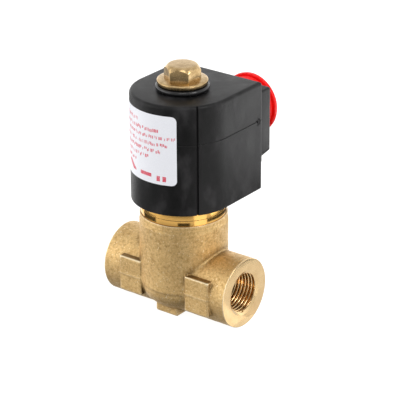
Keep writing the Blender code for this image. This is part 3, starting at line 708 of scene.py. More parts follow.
def forging_distance(p):
    """Signed distance from the forging's skin, in millimetres, at each row of p."""
    x, y, z = p.T
    barrel = np.maximum(np.hypot(y, z) - PORT_RADIUS, np.abs(x) - PORT_LENGTH - 1.2)
    upright = np.hypot(x, y)
    wall = NECK_RADIUS + 0.10 * np.exp(-((z - LIP_Z - 0.7) / 0.5) ** 2)
    lip = np.stack([upright - wall + LIP_EDGE, LIP_Z - z + LIP_EDGE], 1)
    neck = np.linalg.norm(np.maximum(lip, 0), axis=1) + np.minimum(lip.max(axis=1), 0) - LIP_EDGE
    under = np.where(z < LIP_Z, (z - LIP_Z) * UNDER_RADIUS / (NECK_UNDER + LIP_Z), 0)
    neck = smooth_min(neck, np.hypot(upright, under) - UNDER_RADIUS, 0.7)
    neck = np.maximum(neck, z - RIM_TOP - 1.2)
    skin = smooth_min(barrel, neck, 0.8)
    for low, high in PADS:
        skin = smooth_min(skin, block_distance(p, low, high, 0.6), 0.4)
    foot = block_distance(p, (FOOT_X[0], -FOOT_Y, BODY_LOW.z), (FOOT_X[1], FOOT_Y, 0), 0.7)
    skin = smooth_min(skin, foot, 0.6)
    on_pads = np.clip((6.5 - np.abs(np.abs(x) - 15.5)) / 1.5, 0, 1)
    return skin - 0.16 * np.exp(-(z / 0.35) ** 2) * on_pads      # the trimmed flash


def forging_mesh():
    """The forging before machining: rough solids fused by a voxel remesh, then drawn onto the skin."""
    over = 1.2
    end = PORT_LENGTH + over
    forging = lathe("valve_body", [(0, -end), (PORT_RADIUS, -end), (PORT_RADIUS, end), (0, end)], axis="X")
    wall = [(0, RIM_TOP + over), (NECK_RADIUS, RIM_TOP + over)]
    under = [(NECK_RADIUS * math.cos(a), -NECK_UNDER * math.sin(a)) for a in np.linspace(0, 1.5, 12)]
    neck = lathe("neck", wall + under + [(0, -NECK_UNDER)])
    foot = slab("foot", (FOOT_X[0], -FOOT_Y, BODY_LOW.z), (FOOT_X[1], FOOT_Y, 0))
    join(forging, [neck, foot] + [slab("pad", low, high) for low, high in PADS])
    remesh = forging.modifiers.new("fuse", "REMESH")
    remesh.mode = "VOXEL"
    remesh.voxel_size = 0.4 * MM
    apply_modifiers(forging)
    draw_onto(forging, forging_distance)
    return forging


def join(obj, others):
    """Add other objects' meshes to one object's mesh and remove them."""
    shape = bmesh.new()
    for each in [obj] + others:
        shape.from_mesh(each.data)
    shape.to_mesh(obj.data)
    shape.free()
    for each in others:
        bpy.data.objects.remove(each, do_unlink=True)


def draw_onto(obj, distance, rounds=6):
    """Move a mesh's vertices onto the zero surface of a distance function."""
    count = len(obj.data.vertices)
    flat = np.zeros(count * 3)
    obj.data.vertices.foreach_get("co", flat)
    p = flat.reshape(-1, 3) / MM
    step = 0.02
    for _ in range(rounds):
        here = distance(p)
        slope = np.stack([distance(p + step * axis) - distance(p - step * axis) for axis in np.eye(3)], 1)
        slope /= 2 * step
        steep = np.maximum((slope ** 2).sum(1), 0.2)
        p = p - np.clip(here / steep, -0.4, 0.4)[:, None] * slope
    dents = np.array([noise.noise(Vector(q) / 3.5) + 0.5 * noise.noise(Vector(q) / 1.4) for q in p])
    p = p + 0.05 * dents[:, None] * slope / np.sqrt(steep)[:, None]
    p[:, 2] = np.maximum(p[:, 2], BODY_LOW.z)
    obj.data.vertices.foreach_set("co", (p * MM).ravel())
    obj.data.update()


def with_look(obj, look):
    obj.data.materials.clear()
    obj.data.materials.append(look)
    return obj


def port_tools(side, passage_end, look):
    """What machines one port: its face, edge, chamfer, socket and passage, and then its thread."""
    mouth = PORT_LENGTH
    floor = mouth - SOCKET_DEPTH
    floor_radius = SOCKET_MOUTH - SOCKET_DEPTH * PIPE_TAPER
    outer = [(0, mouth + 3), (PORT_RADIUS + 3, mouth + 3), (PORT_RADIUS + 3, mouth - 0.25)]
    edge = rounded([(PORT_RADIUS + 0.05, mouth - 0.25), (PORT_RADIUS - 0.02, mouth, 0.2), (0, mouth)])[:-1]
    socket = [(SOCKET_CHAMFER, mouth), (SOCKET_MOUTH, mouth - 0.6), (floor_radius, floor + 0.6),
              (floor_radius - 0.6, floor)]
    passage = [(PASSAGE_RADIUS, floor), (PASSAGE_RADIUS, passage_end), (0, passage_end)]
    tool = lathe("port_tool", outer + edge + socket + passage, axis=side)
    screw = thread("thread_tool", SOCKET_MOUTH - 0.05, PIPE_PITCH, PIPE_THREAD_DEPTH,
                   mouth + 0.4, floor + 2.0, axis=side, taper=PIPE_TAPER, steps=72)
    return [with_look(tool, look), with_look(screw, look)]


def rim_tool(look):
    """The light cut round the neck's top."""
    return with_look(lathe("rim_tool", [
        (RIM_RADIUS - 0.35, RIM_TOP + 2), (NECK_RADIUS + 3, RIM_TOP + 2), (NECK_RADIUS + 3, RIM_BOTTOM - 0.6),
        (NECK_RADIUS + 0.3, RIM_BOTTOM - 0.6), (RIM_RADIUS, RIM_BOTTOM + 0.4), (RIM_RADIUS, RIM_TOP - 0.35),
        (RIM_RADIUS - 0.1, RIM_TOP - 0.1), (RIM_RADIUS - 0.35, RIM_TOP)]), look)


def top_tool(look):
    """The turned top, the O-ring's groove, the bonnet's bore, the chamber and the seat's pocket."""
    above = [(0, RIM_TOP + 3), (NECK_RADIUS + 3, RIM_TOP + 3), (NECK_RADIUS + 3, RIM_TOP)]
    groove = [(15.2, RIM_TOP), (15.2, RIM_TOP - 1.7), (13.0, RIM_TOP - 1.7), (13.0, RIM_TOP)]
    bore = [(12.1, RIM_TOP), (11.8, RIM_TOP - 0.3), (11.8, CHAMBER_TOP)]
    chamber = [(11.0, CHAMBER_TOP), (11.0, CHAMBER_FLOOR), (5.3, CHAMBER_FLOOR)]
    pocket = [(5.3, SEAT_FLOOR), (3.2, SEAT_FLOOR), (3.2, 0), (0, 0)]
    return with_look(lathe("top_tool", above + groove + bore + chamber + pocket), look)


def valve_body(forged, skimmed, turned):
    body = with_look(forging_mesh(), forged)
    riser = lathe("riser", [(0, 12), (2, 12), (2, 0), (0, 0)], centre=(-8.6, 0, 0), steps=SMALL)
    boolean(body, port_tools("X", -2.4, turned) + port_tools("-X", 5.9, turned)
            + [rim_tool(skimmed), top_tool(turned), with_look(riser, turned)])
    return finish(body, None, "valve", "forged_brass", "valve_body", sharp=math.radians(24))


def bonnet(look):
    """The screwed retaining ring under the coil, with two holes in its top for a pin spanner."""
    low = RIM_TOP + 0.03
    top = RING_HIGH.z
    waist = RING_RADIUS - 0.16
    hole = 7.05
    spigot = 11.5
    ring = lathe("bonnet", rounded([
        (hole, top, 0.3), (waist, top, 0.3), (waist, low + 2.2, 0.03), (RING_RADIUS, low + 2.1, 0.03),
        (RING_RADIUS, low, 0.05), (spigot, low, 0.1), (spigot, RING_LOW.z, 0.5), (8.9, RING_LOW.z, 0.3),
        (8.9, 20.1, 0.2), (hole, 20.1, 0.2)]), steps=144)
    floor_z = top - PIN_HOLE_DEPTH
    pin_hole = [(0, top + 1), (PIN_HOLE_RADIUS, top + 1), (PIN_HOLE_RADIUS, floor_z), (0, floor_z)]
    boolean(ring, [lathe("pin_hole", pin_hole, centre=(x, 0, 0), steps=SMALL)
                   for x in (-PIN_HOLE_AT, PIN_HOLE_AT)])
    return finish(ring, look, "valve", "polished_brass", "bonnet")


def inner_valve_pieces(looks):
    """The seat, seals, guide tube and fixed core, which the bonnet and the coil hide."""
    low, high = low_high("orifice_seat")
    seat = lathe("orifice_seat", rounded([
        (2.4, high.z, 0.15), (3.4, high.z, 0.35), (3.4, high.z - 1.5, 0.3), (5.0, high.z - 2.0, 0.25),
        (5.0, low.z, 0.4), (2.4, low.z, 0.3)]), steps=SMALL)
    finish(seat, looks["nut_brass"], "valve", "turned_brass", "orifice_seat")

    low, high = low_high("bonnet_o_ring")
    section = (high.z - low.z) / 2
    middle = (high.z + low.z) / 2
    cord = [(14.1 + section * math.cos(a), middle + section * math.sin(a))
            for a in np.linspace(0, math.tau, 16, endpoint=False)]
    finish(lathe("bonnet_o_ring", cord), looks["rubber"], "valve", "black_rubber", "bonnet_o_ring")

    low, high = low_high("guide_tube")
    tube = lathe("guide_tube", rounded([
        (6.35, high.z, 0.15), (6.75, high.z, 0.15), (6.75, 19.8, 0.3), (8.6, 19.8, 0.3), (8.6, low.z, 0.3),
        (6.35, low.z, 0.2)]))
    finish(tube, looks["stainless"], "valve", "stainless_steel", "guide_tube")

    low, high = low_high("shading_ring")
    shading = plain_ring("shading_ring", (3.9, 4.9), (low.z, high.z), (0.15, 0.15), SMALL)
    finish(shading, looks["copper"], "valve", "copper", "shading_ring")


def fixed_core(look):
    """The fixed core with its crown and the threaded stud that holds the nut."""
    low, high = low_high("fixed_core")
    crown = 74.0
    root = 2.68
    stud = [(0, high.z), (root - 0.5, high.z), (root, high.z - 0.5), (root, crown + 0.9), (2.9, crown + 0.3)]
    head = rounded([
        (2.9, crown), (6.75, crown, 0.5), (6.75, 70.3, 0.15), (6.05, 70.3), (6.05, low.z, 0.2),
        (5.2, low.z, 0.1), (5.2, low.z + 1.8), (3.6, low.z + 1.8), (3.6, low.z, 0.1), (0, low.z)])
    core = lathe("fixed_core", stud + head, steps=72)
    screw = thread("stud_thread", root - 0.04, STUD_PITCH, 0.52, crown + 0.9, high.z - 1.4, steps=SMALL)
    boolean(core, [screw], "UNION")
    return finish(core, look, "valve", "stainless_steel", "fixed_core")


# ---------------------------------------------------------------- plunger

def plunger_pieces(looks):
    low, high = low_high("plunger")
    body = lathe("plunger", rounded([
        (0, 35.0), (3.0, 35.0, 0.4), (3.0, high.z, 0.3), (6.0, high.z, 0.5), (6.0, low.z, 0.4),
        (4.0, low.z, 0.2), (4.0, low.z + 2.4, 0.2), (0, low.z + 2.4)]), steps=SMALL)
    for x in (-6, 6):
        boolean(body, [slab("groove", (x - 0.9, -0.9, low.z - 1), (x + 0.9, 0.9, high.z + 1), 0.2)])
    finish(body, looks["stainless"], "plunger", "stainless_steel", "plunger")

    low, high = low_high("plunger_seal")
    seal = lathe("plunger_seal", rounded([
        (0, high.z), (3.7, high.z, 0.25), (3.7, low.z, 0.35), (0, low.z)]), steps=SMALL)
    finish(seal, looks["rubber"], "plunger", "black_rubber", "plunger_seal")


def return_spring(look):
    """The spring rides with the fixed core."""
    low, high = low_high("return_spring")
    wire_radius = 0.35
    coil_radius = high.x - wire_radius
    turns, per_turn = 7, 28
    closed_turn = 2.1 * wire_radius
    count = turns * per_turn
    points = []
    for i in range(count + 1):
        angle = math.tau * i / per_turn
        share = min(max((i - per_turn) / (count - 2 * per_turn), 0.0), 1.0)
        ends = min(i / per_turn, 1.0) + max(i - count + per_turn, 0) / per_turn
        rise = high.z - low.z - 2 * wire_radius - 2 * closed_turn
        height = low.z + wire_radius + ends * closed_turn + share * rise
        points.append((coil_radius * math.cos(angle), coil_radius * math.sin(angle), height))
    spring = wire("return_spring", points, wire_radius)
    finish(spring, look, "valve", "stainless_steel", "return_spring")
    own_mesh(spring)


# ---------------------------------------------------------------- coil

def coil_outline(inset):
    """The coil's plan: a half round front and a square back, drawn in by inset."""
    radius = COIL_RADIUS - inset
    corner = max(0.9 - inset, 0.15)
    back = COIL_BACK - inset
    line = [(radius * math.cos(a), radius * math.sin(a)) for a in np.linspace(math.pi, math.tau, 73)]
    for side, start in ((1, 0.0), (-1, 0.5)):
        line += [(side * (radius - corner) + corner * math.cos(math.pi * (start + t)),
                  back - corner + corner * math.sin(math.pi * (start + t))) for t in np.linspace(0, 0.5, 5)]
    return line


def hub_outline(inset):
    """The hub block seen along Y, drawn in by inset."""
    half = HUB_HALF - inset
    foot = HUB_HALF - HUB_CHAMFER - inset
    low, high = HUB_Z[0] + inset, HUB_Z[1] - inset
    shoulder = HUB_SHOULDER + inset * (math.sqrt(2) - 1)
    corner = max(0.8 - inset, 0.15)
    right = [(foot, low), (foot, shoulder), (half, shoulder + HUB_CHAMFER), (half, high)]
    left = [(-x, z) for x, z in right[::-1]]
    return rounded([(x, z, corner) for x, z in right + left], steps=3)


def coil_shell():
    """The moulding's outside: a lofted drum with a soft rim and a parting groove, and the hub block."""
    levels = rim_levels(COIL_LOW.z, COIL_HIGH.z, 0.5, COIL_RIM)
    seam = [(SEAM_Z - 0.2, 0.0), (SEAM_Z, 0.18), (SEAM_Z + 0.2, 0.0)]
    levels = levels[:6] + seam + levels[6:]
    drum = loft("coil_housing", [[(x, y, z) for x, y in coil_outline(inset)] for z, inset in levels])
    face = rim_levels(COIL_BACK - 4, HUB_FACE, 0.3, 0.8, steps=4)
    hub = loft("hub", [[(x, y, z) for x, z in hub_outline(inset)] for y, inset in face])
    boolean(drum, [hub], "UNION")
    return drum


def coil_hollows():
    """The tube's bore, the winding's cavity and the gasket's recess, and the threaded hub."""
    top, bottom = COIL_HIGH.z, COIL_LOW.z
    room_floor, room_top = WINDING_ROOM_Z
    above = [(0, top + 1), (COIL_BORE + 0.3, top + 1), (COIL_BORE + 0.3, top), (COIL_BORE, top - 0.4)]
    room = [(COIL_BORE, room_top), (WINDING_ROOM_RADIUS, room_top), (WINDING_ROOM_RADIUS, room_floor),
            (COIL_BORE, room_floor)]
    recess = [(COIL_BORE, GASKET_SEAT_Z), (10.0, GASKET_SEAT_Z), (10.0, bottom - 1), (0, bottom - 1)]
    bore = lathe("coil_bore", above + room + recess)
    floor_radius = HUB_MOUTH - (HUB_FACE - HUB_FLOOR) * HUB_TAPER
    mouth = HUB_MOUTH + 0.9
    hub = lathe("hub_bore", [
        (0, HUB_FACE + 2), (mouth + 2, HUB_FACE + 2), (mouth, HUB_FACE), (HUB_MOUTH - 0.05, HUB_FACE - 1.0),
        (floor_radius, HUB_FLOOR), (0, HUB_FLOOR)], axis="Y", centre=HUB_AXIS)
    screw = thread("hub_thread", HUB_MOUTH + 0.05, HUB_PITCH, 0.8, HUB_FACE + 0.5, HUB_FLOOR + 3.0,
                   axis="Y", centre=HUB_AXIS, taper=HUB_TAPER, steps=72)
    return [bore, boolean(hub, [screw], "UNION")]


def blade_slots(half_wide, half_thin, start, end, edge=0.0):
    """Cutters from y = start to y = end for the slots that the three blades stand in."""
    slots = [((x - half_thin, start, LINE_Z - half_wide), (x + half_thin, end, LINE_Z + half_wide))
             for x in (-LINE_X, LINE_X)]
    slots.append(((-half_wide, start, EARTH_Z - half_thin), (half_wide, end, EARTH_Z + half_thin)))
    return [slab("slot", low, high, edge) for low, high in slots]


def coil_housing(look):
    shell = coil_shell()
    groove = slab("side_groove", (COIL_RADIUS - 0.9, -0.4, COIL_LOW.z - 1),
                  (COIL_RADIUS + 1, 0.4, COIL_HIGH.z + 1), 0.2)
    groove.data.transform(Matrix.Rotation(GROOVE_ANGLE, 4, "Z"))
    dimple = lathe("gate_dimple", [(0, 1), (1.7, 1), (1.5, 0), (1.2, -0.22), (0, -0.3)], axis="X",
                   centre=(COIL_RADIUS, 20.0, SEAM_Z - 0.3), steps=SMALL)
    boolean(shell, coil_hollows() + [groove, dimple] + blade_slots(2.8, 0.7, 13, HUB_FLOOR + 1))
    pip = lathe("gate_pip", [(0, 0.25), (0.3, 0.2), (0.5, -0.1), (0.55, -0.6), (0, -0.6)], axis="X",
                centre=(COIL_RADIUS - 0.1, 20.2, SEAM_Z - 0.3), steps=24)
    boolean(shell, [pip], "UNION")
    return finish(shell, look, "coil", "housing_plastic", "coil_housing")


ROW_ENDS = (0.52, 0.80, 0.98, 0.905, 0.82, 0.69, 0.49)        # shares of the label's width
ROW_TOP = 0.87                 # this and the next two are shares of the label's height
ROW_STEP = 0.0985
ROW_HEIGHT = 0.046


def label_bars():
    """Bars (height, thickness, start, end) that stand for a label's print, in shares of the label."""
    random.seed(7)
    bars = []
    for i, end in enumerate(ROW_ENDS):
        at = 0.03
        while at < end:
            width = random.uniform(0.006, 0.015)
            lift = random.choice((-0.010, 0.0, 0.0, 0.010))
            bars.append((ROW_TOP - i * ROW_STEP + lift, ROW_HEIGHT - abs(lift), at, at + width))
            at += width + random.choice((0.005, 0.005, 0.007, 0.020))
    bars += [(0.115, 0.055, 0.575, 0.725), (0.085, 0.075, 0.785, 0.825), (0.085, 0.075, 0.850, 0.890)]
    bars += [(0.205 - 0.012 * i, 0.030, 0.335 + 0.012 * i, 0.395 + 0.012 * i) for i in range(9)]
    return bars


LABEL_START, LABEL_END = math.radians(-165), math.radians(-59)
LABEL_RADIUS = COIL_RADIUS + 0.07
LABEL_CORNER = 2.0
LABEL_ACROSS, LABEL_UP = 260, 170                             # faces


def label_sheet(radius):
    """Rows of points across one side of the label, drawn in where its corners are round."""
    low, high = low_high("rating_label")
    height = high.z - low.z
    width = (LABEL_END - LABEL_START) * LABEL_RADIUS
    points = []
    for j in range(LABEL_UP + 1):
        v = j / LABEL_UP
        short = max(LABEL_CORNER - min(v, 1 - v) * height, 0)
        pull = (LABEL_CORNER - math.sqrt(max(LABEL_CORNER ** 2 - short ** 2, 0))) / width
        for i in range(LABEL_ACROSS + 1):
            angle = LABEL_START + (LABEL_END - LABEL_START) * (pull + (1 - 2 * pull) * i / LABEL_ACROSS)
            points.append((radius * math.cos(angle), radius * math.sin(angle), low.z + height * v))
    return points


def rating_label(look):
    """A thin curved label with round corners, printed with bars that stand for its text."""
    points = label_sheet(LABEL_RADIUS) + label_sheet(COIL_RADIUS - 0.03)
    across, up = LABEL_ACROSS, LABEL_UP
    row = across + 1
    back = row * (up + 1)
    bars = label_bars()
    faces, inks = [], []
    for j in range(up):
        v = (j + 0.5) / up
        near = [bar for bar in bars if abs(bar[0] - v) < bar[1] / 2]
        for i in range(across):
            u = (i + 0.5) / across
            corner = j * row + i
            faces.append([corner, corner + 1, corner + row + 1, corner + row])
            inks.append(any(bar[2] <= u < bar[3] for bar in near))
    outline = list(range(row)) + [j * row + across for j in range(1, up + 1)]
    outline += [up * row + i for i in range(across - 1, -1, -1)] + [j * row for j in range(up - 1, 0, -1)]
    faces.append([back + i for i in outline[::-1]])
    for a, b in zip(outline, outline[1:] + outline[:1]):
        faces.append([b, a, back + a, back + b])
    obj = raw_object("rating_label", [tuple(Vector(p) * MM) for p in points], faces)
    values = np.zeros(len(faces), np.float32)
    values[:len(inks)] = inks
    obj.data.attributes.new("ink", "FLOAT", "FACE").data.foreach_set("value", values)
    return finish(obj, look, "coil", "label_paper", "rating_label")


def winding_profile(low, high, inner, outer, wire_width):
    """A winding's section: the outer layer's turns show as a row of ridges."""
    turns = int((high - low) / wire_width)
    pitch = (high - low) / turns
    ridges = []
    for i in range(turns):
        middle = high - (i + 0.5) * pitch
        ridges += [(outer - pitch / 2 + pitch / 2 * math.cos(a), middle - pitch / 2 * math.sin(a))
                   for a in np.linspace(-1.35, 1.35, 5)]
    return [(inner, high)] + ridges + [(inner, low)]


def coil_inner_pieces(looks):
    """Bobbin, winding and the steel round them, sealed inside the moulding."""
    low, high = low_high("coil_bobbin")
    bobbin = lathe("coil_bobbin", rounded([
        (7.4, high.z, 0.2), (14.4, high.z, 0.4), (14.4, high.z - 1.6, 0.4), (8.4, high.z - 1.6, 0.5),
        (8.4, low.z + 1.6, 0.5), (14.4, low.z + 1.6, 0.4), (14.4, low.z, 0.4), (7.4, low.z, 0.2)]), steps=72)
    finish(bobbin, looks["bobbin"], "coil", "bobbin_plastic", "coil_bobbin")

    low, high = low_high("coil_winding")
    finish(lathe("coil_winding", winding_profile(low.z, high.z, 8.7, 14.0, 0.55), steps=72),
           looks["winding"], "coil", "copper", "coil_winding")

    low, high = low_high("flux_sleeve")
    sleeve = plain_ring("flux_sleeve", (14.9, 15.9), (low.z, high.z), (0.15, 0.25), 72)
    boolean(sleeve, [slab("window", (-7.5, 10, 53.1), (7.5, 20, 63.1), 0.6, 3)])
    finish(sleeve, looks["plated"], "coil", "plated_steel", "flux_sleeve")
    for node in ("upper_flux_plate", "lower_flux_plate"):
        low, high = low_high(node)
        plate = plain_ring(node, (7.4, 15.9), (low.z, high.z), (0.3, 0.35), 72)
        finish(plate, looks["plated"], "coil", "plated_steel", node)
    for node, side in (("coil_lead_a", -1), ("coil_lead_b", 1)):
        finish(lead_wire(node, side), looks["winding"], "coil", "copper", node)

    low, high = low_high("coil_base_gasket")
    gasket = plain_ring("coil_base_gasket", (7.6, 9.7), (low.z, high.z), (0.3, 0.4))
    finish(gasket, looks["rubber"], "coil", "black_rubber", "coil_base_gasket")


def lead_wire(name, side):
    """A lead from the winding to the tail of its blade, as a smooth curve through its route."""
    route = [Vector((side * x, y, z)) for x, y, z in (
        (1.2, 14.45, 62.0), (2.4, 14.5, 61.2), (3.4, 14.5, 60.0), (4.2, 14.6, 59.0), (4.5, 14.95, 58.3),
        (4.5, 15.5, 58.1))]
    padded = [route[0]] + route + [route[-1]]
    points = []
    for a, b, c, d in zip(padded, padded[1:], padded[2:], padded[3:]):
        for t in np.linspace(0, 1, 6, endpoint=False):
            points.append(0.5 * (2 * b + (c - a) * t + (2 * a - 5 * b + 4 * c - d) * t ** 2
                                 + (3 * b - a - 3 * c + d) * t ** 3))
    return wire(name, points + [route[-1]], 0.35)


def blade(name, look, flat_axis):
    """A flat terminal blade with a tapered, chamfered tip and a latch hole."""
    low, high = low_high(name)
    wide = max(high.x - low.x, high.z - low.z)
    thin = min(high.x - low.x, high.z - low.z)
    half = wide / 2
    tail, tip = low.y, high.y
    outline = rounded([(-half, tail, 0.3), (half, tail, 0.3), (half, tip - 0.9, 0.3), (half - 0.8, tip, 0.3),
                       (0.8 - half, tip, 0.3), (-half, tip - 0.9, 0.3)], steps=3)
    plate = loft(name, [[(u, v, w) for u, v in outline] for w in (-thin / 2, thin / 2)])
    hole = lathe("hole", [(0, 2), (0.75, 2), (0.75, -2), (0, -2)], centre=(0, tip - 2.2, 0), steps=32)
    boolean(plate, [hole])
    soften(plate, 0.12)
    turn = Matrix.Rotation(math.radians(90), 4, "Y") if flat_axis == "X" else Matrix.Identity(4)
    middle = (low + high) / 2
    plate.data.transform(Matrix.Translation(Vector((middle.x, 0, middle.z)) * MM) @ turn)
    return finish(plate, look, "coil", "terminal_metal", name)


def terminals(looks):
    blade("line_terminal_a", looks["terminal"], "X")
    blade("line_terminal_b", looks["terminal"], "X")
    blade("earth_terminal", looks["terminal"], "Z")
    low, high = low_high("terminal_block")
    radius, face = high.x, high.y
    block = lathe("terminal_block", rounded([
        (0, face), (radius - 1.2, face, 0.2), (radius - 1.2, face - 0.5, 0.1), (radius, face - 0.5, 0.3),
        (radius, low.y, 0.2), (0, low.y)]), axis="Y", centre=HUB_AXIS, steps=72)
    boolean(block, blade_slots(2.7, 0.6, low.y - 1, high.y + 1, 0.2))
    finish(block, looks["bobbin"], "coil", "bobbin_plastic", "terminal_block")


# ---------------------------------------------------------------- plug, washer and nut

def conduit_cap(look):
    """The hollow shipping plug: a thin tapered cup with sealing ribs and a pull flange."""
    low, high = low_high("conduit_cap")
    flange_radius = high.x
    flange = high.y - 1.9
    mouth = 11.0
    tip = mouth - (flange - low.y) * HUB_TAPER
    outside = [(tip - 1.0, low.y), (tip - 0.3, low.y + 0.3), (tip + 0.04, low.y + 1.1)]
    for i in range(9):
        at = low.y + 1.7 + i * HUB_PITCH
        radius = tip + (at - low.y) * HUB_TAPER
        outside += [(radius - 0.22, at), (radius, at + 0.25), (radius, at + 0.5), (radius - 0.2, at + 0.85)]
    inside = rounded([(mouth - 0.25, flange), (flange_radius, flange, 0.5), (flange_radius, high.y, 0.6),
                      (mouth - 1.2, high.y, 0.4), (tip - 1.3, low.y + 1.2, 0.8), (0, low.y + 1.2)])
    cup = lathe("conduit_cap", [(0, low.y)] + outside + inside, axis="Y", centre=HUB_AXIS, steps=128)
    return finish(cup, look, "cap", "red_plastic", "conduit_cap")


def seal_washer(look):
    low, high = low_high("top_seal_washer")
    washer = plain_ring("top_seal_washer", (3.6, high.x), (low.z, high.z), (0.3, 0.75), 128)
    return finish(washer, look, "washer", "black_rubber", "top_seal_washer")


def hexagon(name, radius, low, high, first_corner, edge):
    """An upright hexagonal bar with slightly rounded corners."""
    corners = [(radius * math.cos(first_corner + a), radius * math.sin(first_corner + a), edge)
               for a in (i * math.tau / 6 for i in range(6))]
    outline = rounded(corners, steps=4)
    return loft(name, [[(x, y, z) for x, y in outline] for z in (low, high)])


def coil_nut(look):
    """A flanged acorn nut: its hexagon is turned off at the top into a low dome."""
    low, top = NUT_LOW.z, NUT_HIGH.z
    flange = NUT_HIGH.x
    shoulder = low + 2.0
    hex_radius = 6.93
    nut = hexagon("coil_nut", hex_radius, shoulder - 0.8, top + 1, math.radians(26.0), 0.25)
    dome = [(5.3 * math.sin(a), top - 0.25 + 0.25 * math.cos(a)) for a in np.linspace(0, 1.3, 10)]
    chamfer = [(5.6, top - 0.45), (hex_radius + 0.05, top - 2.1)]
    below = [(hex_radius + 0.05, shoulder - 2), (0, shoulder - 2)]
    crown = lathe("crown", [(0, top)] + dome[1:] + chamfer + below, steps=128)
    boolean(nut, [crown], "INTERSECT")
    soften(nut, 0.10, 2, 16)
    base = lathe("flange", rounded([
        (0, shoulder + 0.05), (6.9, shoulder - 0.05, 0.6), (flange - 0.5, low + 1.65, 0.3),
        (flange, low + 1.4, 0.3), (flange, low, 0.45), (0, low)]), steps=128)
    boolean(nut, [base], "UNION")
    bore = lathe("nut_bore", [
        (0, 82.0), (2.0, 81.6), (3.6, 80.6), (3.6, low + 0.5), (4.1, low), (4.1, low - 1), (0, low - 1)],
        steps=SMALL)
    boolean(nut, [bore])
    return finish(nut, look, "nut", "turned_brass", "coil_nut", sharp=math.radians(38))


# ---------------------------------------------------------------- studio

def camera():
    """A long lens on the pipe's front right, looking down by 24 degrees."""
    azimuth, elevation, roll = math.radians(37.3), math.radians(24.0), math.radians(-0.31)
    data = bpy.data.cameras.new("camera")
    data.lens = 180
    data.sensor_width = 36
    data.clip_end = 20
    obj = link_object("camera", data)
    right = Vector((math.cos(azimuth), math.sin(azimuth), 0))
    ahead = Vector((-math.sin(azimuth), math.cos(azimuth), 0))
    forward = ahead * math.cos(elevation) - Vector((0, 0, math.sin(elevation)))
    up = Vector((0, 0, math.cos(elevation))) + ahead * math.sin(elevation)
    turned_right = right * math.cos(roll) + up * math.sin(roll)
    turned_up = up * math.cos(roll) - right * math.sin(roll)
    axes = Matrix((turned_right, turned_up, -forward)).transposed().to_4x4()
    obj.matrix_world = Matrix.Translation(Vector((417.6, -538.1, 333.5)) * MM) @ axes
    bpy.context.scene.camera = obj


def floor():
    half, height = 3.0, (BODY_LOW.z - 0.05) * MM
    corners = [(x * half, y * half, height) for x, y in ((-1, -1), (1, -1), (1, 1), (-1, 1))]
    obj = raw_object("floor", corners, [(0, 1, 2, 3)])
    look = Look("floor", (0.3, 0.3, 0.3), 0.9, Specular_IOR_Level=0.2, Emission_Color=(1, 1, 1, 1),
                Emission_Strength=0.93)
    obj.data.materials.append(look.material)
    obj.visible_glossy = False
    obj.visible_diffuse = False


def card(name, start, end, near, far, tone, glow=0.0):
    """A card on the table, out of sight, that only the shiny pieces mirror: a sector round the valve."""
    height = (BODY_LOW.z + 1) * MM
    steps = 24
    turns = [math.radians(start + (end - start) * i / steps) for i in range(steps + 1)]
    points = [(r * math.cos(a), r * math.sin(a), height) for r in (near, far) for a in turns]
    obj = raw_object(name, points, [(i, i + 1, steps + 2 + i, steps + 1 + i) for i in range(steps)])
    look = Look(name, (tone, tone, tone), 0.9, Emission_Color=(1, 1, 1, 1), Emission_Strength=glow)
    obj.data.materials.append(look.material)
    for rays in ("visible_camera", "visible_diffuse", "visible_shadow"):
        setattr(obj, rays, False)


def cards():
    card("far_card", -110, -30, 0.17, 0.60, 0.10)
    card("side_card", 150, 180, 0.17, 0.60, 0.45)
    card("right_card", 8, 100, 0.087, 0.135, 0.03)
    card("left_card", -176, -126, 0.078, 0.135, 0.03)
    card("lens_card", -67, -37, 0.070, 0.113, 0.02)
    card("bright_card", -26, 7, 0.03, 0.30, 0.9, 0.45)
    card("glow_card", 20, 85, 0.14, 0.32, 0.9, 1.4)
    card("mouth_card", 8, 70, 0.03, 0.086, 0.8, 0.1)


def softbox(name, place_m, size_m, watts):
    """A soft lamp aimed at the middle of the valve."""
    data = bpy.data.lights.new(name, "AREA")
    data.shape = "RECTANGLE"
    data.size, data.size_y = size_m
    data.energy = watts
    obj = link_object(name, data)
    obj.location = place_m
    aim = Vector((0, 0, 0.035)) - Vector(place_m)
    obj.rotation_euler = aim.to_track_quat("-Z", "Y").to_euler()


DIM, PALE = 0.82, 1.70         # brightness of the studio before and behind the valve
BEHIND = (-0.606, 0.795, 0.25)
LAYERS = ((0.0, 0.15), (0.12, 0.3), (0.32, 1.0), (0.5, 1.0), (0.72, 0.55))     # its share, low to high


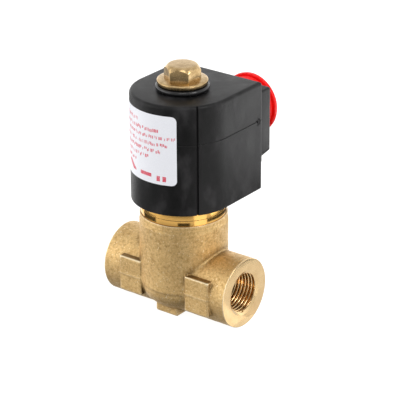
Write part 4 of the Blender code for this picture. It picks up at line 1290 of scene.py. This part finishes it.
def surroundings():
    """A studio that is pale behind the valve and dim in front of it, where the camera stands."""
    world = bpy.data.worlds.new("studio")
    world.use_nodes = True
    nodes = Nodes(world.node_tree)
    direction = nodes.tree.nodes.new("ShaderNodeTexCoord").outputs["Generated"]
    shade = nodes.tree.nodes.new("ShaderNodeMapRange")
    shade.interpolation_type = "SMOOTHSTEP"
    nodes.feed(shade.inputs["Value"], nodes.vector("DOT_PRODUCT", direction, BEHIND))
    for socket, value in (("From Min", -0.6), ("From Max", 0.5), ("To Min", DIM), ("To Max", PALE)):
        nodes.feed(shade.inputs[socket], value)
    height = nodes.math("MULTIPLY_ADD", nodes.split(direction)[2], 0.5, 0.5)
    strength = nodes.math("MULTIPLY", shade.outputs["Result"], nodes.ramp(height, *LAYERS))
    background = nodes.tree.nodes["Background"]
    nodes.feed(background.inputs["Strength"], strength)
    nodes.feed(background.inputs["Color"], (1, 1, 1, 1))
    bpy.context.scene.world = world


def lights():
    surroundings()
    softbox("key", (-0.65, -0.75, 0.4), (0.9, 0.7), 3.0)
    softbox("fill", (0.80, 0.0, 0.65), (0.35, 0.35), 3)
    softbox("top", (0.33, -0.43, 0.72), (0.35, 0.35), 1.0)
    bpy.context.scene.view_settings.view_transform = "Standard"


# ---------------------------------------------------------------- assembly

def build():
    turned = turned_brass()
    looks = {
        "nut_brass": nut_brass(),
        "rubber": rubber("black_rubber", 0.2),
        "stainless": steel("stainless_steel", (0.62, 0.62, 0.61), 0.24),
        "plated": steel("plated_steel", (0.55, 0.56, 0.58), 0.4, 0.5),
        "copper": copper("bare_copper", (0.80, 0.42, 0.26)),
        "winding": copper("winding_copper", (0.66, 0.26, 0.10)),
        "bobbin": plastic("bobbin_plastic", (0.70, 0.66, 0.56), 0.45),
        "terminal": steel("terminal_metal", (0.82, 0.76, 0.58), 0.28),
    }
    valve_body(forged_brass("forged_brass", False), forged_brass("skimmed_brass", True), turned)
    bonnet(polished_brass())
    inner_valve_pieces(looks)
    fixed_core(looks["stainless"])
    plunger_pieces(looks)
    return_spring(looks["stainless"])
    coil_housing(housing_plastic())
    rating_label(label_paper())
    coil_inner_pieces(looks)
    terminals(looks)
    conduit_cap(red_plastic())
    seal_washer(looks["rubber"])
    coil_nut(looks["nut_brass"])


camera()
build()
floor()
cards()
lights()
